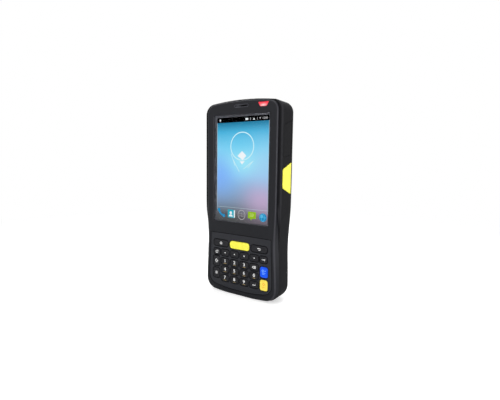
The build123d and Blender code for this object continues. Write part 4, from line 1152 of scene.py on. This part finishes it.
    def ring(self):
        """A plain ring over a lozenge, a triangle below them and four slanting lines."""
        ring = self.stroke(circle((0.1, 19.6), 11.3, 72), 0.85, 1, closed=True)
        self.drawing("wallpaper_ring", [ring], self.lit("pale"))
        self.drawing("wallpaper_lozenge", [
            self.patch([(0.2, 15.7), (-4.3, 11.7), (0.9, 8.3), (4.4, 11.9)], 2),
            self.patch([(-2.0, 7.4), (0.2, 4.8), (2.9, 7.4)], 1),
        ], self.lit("snow"))
        lines = (
            [(-8.4, 8.2), (-2.4, -1.3)], [(-10.9, 13.6), (-6.6, 3.4)],
            [(1.8, 1.1), (9.9, 6.9)], [(5.9, 2.1), (11.2, 7.8)],
        )
        slants = [self.stroke(line, 0.45, 1) for line in lines]
        self.drawing("wallpaper_lines", slants, self.lit("faint"))

    def edges(self):
        """Thin pale lines over the signs and along both sides of the picture."""
        dock = self.screen.dock / MM - self.half_height
        low, high = 9.0 - self.half_height, self.half_height - self.screen.bar / MM
        end, side = self.half_width - 1.0, self.half_width - 0.12
        self.drawing("picture_edges", [
            self.stroke([(-end, dock), (end, dock)], 0.16, 1),
            self.stroke([(-side, low), (-side, high)], 0.22, 1),
            self.stroke([(side, low), (side, high)], 0.22, 1),
        ], self.lit("edge"))

    def sign_call(self, middle):
        """A handle between two round ends."""
        handle = arc((-17.0, middle + 4.2), 6.5, 194.0, 260.0, 16)
        ends = [self.patch(circle(end, 1.45, 16), 2) for end in (handle[0], handle[-1])]
        self.drawing("sign_call", [self.stroke(handle, 1.7, 2), *ends], self.lit("blue"))

    def sign_card(self, middle):
        """A card with a round head over shoulders and a bar on the right."""
        card = card_outline(-10.4, middle + 0.1, 3.5, 3.4)
        self.drawing("sign_card_back", [self.patch(card, 2)], self.lit("teal"))
        self.drawing("sign_card", [
            self.stroke([(-6.9, middle - 3.0), (-6.9, middle + 3.2)], 1.2, 3),
            self.patch(circle((-10.7, middle + 0.9), 1.25, 18), 3),
            self.patch(arc((-10.7, middle - 2.3), (2.0, 1.8), 0.0, 180.0, 16), 3),
        ], self.lit("white"))

    def sign_menu(self, middle):
        """A ring with six dots."""
        ring = self.stroke(arc((0.3, middle), (3.5, 3.9), 0.0, 350.0, 36), 0.45, 2, closed=True)
        dots = [
            self.patch(circle((0.3 + 1.6 * column, middle + 0.9 * row), 0.4, 10), 2)
            for column in (-1, 0, 1) for row in (-1, 1)
        ]
        self.drawing("sign_menu", [ring, *dots], self.lit("grey"))

    def sign_note(self, middle):
        """A square bubble with a tail and three short lines."""
        bubble = card_outline(10.6, middle + 0.7, 3.9, 2.8)
        tail = [(9.0, middle - 2.0), (11.2, middle - 2.0), (9.6, middle - 3.7)]
        self.drawing("sign_note_back", [self.patch(bubble, 2)], self.lit("green"))
        self.drawing("sign_note_tail", [self.patch(tail, 2)], self.lit("green"))
        lines = ((1.7, 12.6), (0.7, 12.6), (-0.3, 11.9))
        self.drawing("sign_note", [
            self.stroke([(8.6, middle + rise), (end, middle + rise)], 0.34, 3) for rise, end in lines
        ], self.lit("lime"))

    def sign_globe(self, middle):
        """A disc with an upright oval line, a level line and an oval patch."""
        centre = (21.1, middle - 0.3)
        self.drawing("sign_globe_back", [self.patch(circle(centre, 3.5, 36), 2)], self.lit("blue"))
        self.drawing("sign_globe", [
            self.stroke(arc(centre, (1.4, 3.2), -90.0, 90.0), 0.4, 3),
            self.stroke(arc(centre, (1.4, 3.2), 90.0, 270.0), 0.4, 3),
            self.stroke([(17.8, middle - 0.3), (24.4, middle - 0.3)], 0.4, 3),
            self.patch(arc((20.0, middle + 0.8), (1.5, 1.2), 0.0, 345.0, 14), 4),
        ], self.lit("sky"))


def card_outline(across, up, half_width, half_height):
    """A rectangle with small round corners about a middle, in millimetres."""
    corner, steps = 0.45, 4
    return rounded_ring(half_width, half_height, corner, steps) + (across, up)


# ---------------------------------------------------------------- stage


class OBJECT_OT_terminal_stage(bpy.types.Operator):
    """Set up the floor, the lamps, the room's light and the camera"""

    bl_idname = "object.terminal_stage"
    bl_label = "Stage"

    def execute(self, context):
        stage = context.scene.terminal_stage
        self.floor(stage)
        self.room(context.scene, stage)
        lamps = (  # each with its place, the height that it looks at, its size and its power
            ("key_lamp", (-0.15, -0.85, 0.75), 0.09, 0.8, stage.key_power),
            ("rim_lamp", (0.66, -0.455, 0.13), 0.11, 0.3, stage.rim_power),
            ("top_lamp", (0.09, 0.04, 0.9), 0.15, 0.15, stage.top_power),
            ("back_lamp", (-0.45, 0.70, 0.40), 0.09, 0.6, stage.back_power),
        )
        for lamp in lamps:
            self.lamp(*lamp)
        self.camera(context.scene, stage)
        context.scene.view_settings.view_transform = "Standard"
        return {"FINISHED"}

    def camera(self, scene, stage):
        """The camera, in front of the object and to its right."""
        data = bpy.data.cameras.new("camera")
        data.lens = stage.lens
        data.sensor_width = 36.0
        data.clip_start = 0.01
        camera = new_object("camera", data)
        camera.location = stage.camera_place
        camera.rotation_euler = Euler(stage.camera_turn)
        scene.camera = camera

    def sight(self, book):
        """Masks of the rays that reach the eye straight or through panes, and of those and reflections."""
        path = book.add("ShaderNodeLightPath").outputs
        direct = book.maths("MAXIMUM", path["Is Camera Ray"], path["Is Transmission Ray"])
        return direct, book.maths("MAXIMUM", direct, path["Is Glossy Ray"])

    def floor(self, stage):
        """A pale floor that turns into plain white between two distances from the object."""
        near, far = 0.12, 0.55
        material, shader, book = new_material("stage_white")
        pale = (0.80, 0.80, 0.80, 1.0)
        book.feed(shader, {"Base Color": pale, "Roughness": 0.9, "Specular IOR Level": 0.0})
        distance = book.add("ShaderNodeVectorMath", {0: book.place()}, operation="LENGTH").outputs["Value"]
        away = book.ramp(distance, near, far, interpolation_type="SMOOTHSTEP")
        direct, seen = self.sight(book)
        white = book.add("ShaderNodeEmission", {"Color": WHITE, "Strength": 1.0})
        lift = {"Color": WHITE, "Strength": book.maths("MULTIPLY", direct, stage.floor_lift)}
        lifted = book.add(
            "ShaderNodeAddShader", {0: shader.outputs[0], 1: book.add("ShaderNodeEmission", lift).outputs[0]}
        )
        shaders = {0: book.maths("MULTIPLY", away, seen), 1: lifted.outputs[0], 2: white.outputs[0]}
        mix = book.add("ShaderNodeMixShader", shaders)
        book.feed(material.node_tree.nodes["Material Output"], {"Surface": mix.outputs[0]})
        half = stage.floor
        corners = [(-half, -half, 0), (half, -half, 0), (half, half, 0), (-half, half, 0)]
        mesh = bpy.data.meshes.new("floor")
        mesh.from_pydata(corners, [], [(0, 1, 2, 3)])
        mesh.materials.append(material)
        floor = new_object("floor", mesh)

    def room(self, scene, stage):
        """White to the eye and in reflections, and softer as the light on the object."""
        world = bpy.data.worlds.new("room")
        world.use_nodes = True
        book = NodeBook(world.node_tree)
        _, seen = self.sight(book)
        strength = book.maths("MULTIPLY_ADD", seen, 1.0 - stage.room, stage.room)
        book.feed(world.node_tree.nodes["Background"], {"Color": WHITE, "Strength": strength})
        scene.world = world

    def lamp(self, name, place, aim, size, power):
        """A square soft lamp that looks at the object's middle line at a height."""
        data = bpy.data.lights.new(name, "AREA")
        data.size = size
        data.energy = power
        lamp = new_object(name, data)
        lamp.location = place
        view = Vector((0.0, 0.0, aim)) - Vector(place)
        lamp.rotation_euler = view.to_track_quat("-Z", "Y").to_euler()


# ---------------------------------------------------------------- sidebar and start

GROUPS = {
    "terminal_finish": TerminalFinish,
    "terminal_keys": TerminalKeys,
    "terminal_screen": TerminalScreen,
    "terminal_stage": TerminalStage,
}
OPERATORS = (
    OBJECT_OT_terminal_stage,
    OBJECT_OT_terminal_casing,
    OBJECT_OT_terminal_insides,
    OBJECT_OT_terminal_panes,
    OBJECT_OT_terminal_keypad,
    OBJECT_OT_terminal_wells,
    OBJECT_OT_terminal_legends,
    OBJECT_OT_terminal_screen,
)


class VIEW3D_PT_terminal(bpy.types.Panel):
    """Sizes, colours and build steps of the terminal"""

    bl_idname = "VIEW3D_PT_terminal"
    bl_label = "Data Terminal"
    bl_space_type = "VIEW_3D"
    bl_region_type = "UI"
    bl_category = "Terminal"

    def draw(self, context):
        for name, group in GROUPS.items():
            box = self.layout.box()
            box.label(text=group.__doc__)
            for label in group.__annotations__:
                box.prop(getattr(context.scene, name), label)
        for operator in OPERATORS:
            self.layout.operator(operator.bl_idname)


def register():
    for item in (*GROUPS.values(), *OPERATORS, VIEW3D_PT_terminal):
        bpy.utils.register_class(item)
    for name, group in GROUPS.items():
        setattr(bpy.types.Scene, name, PointerProperty(type=group))


def unregister():
    for name in GROUPS:
        delattr(bpy.types.Scene, name)
    for item in reversed((*GROUPS.values(), *OPERATORS, VIEW3D_PT_terminal)):
        bpy.utils.unregister_class(item)


def main():
    """Registers the classes and runs every step."""
    register()
    for operator in OPERATORS:
        group, name = operator.bl_idname.split(".")
        getattr(getattr(bpy.ops, group), name)()
    bpy.context.view_layer.update()


if __name__ == "__main__":
    main()
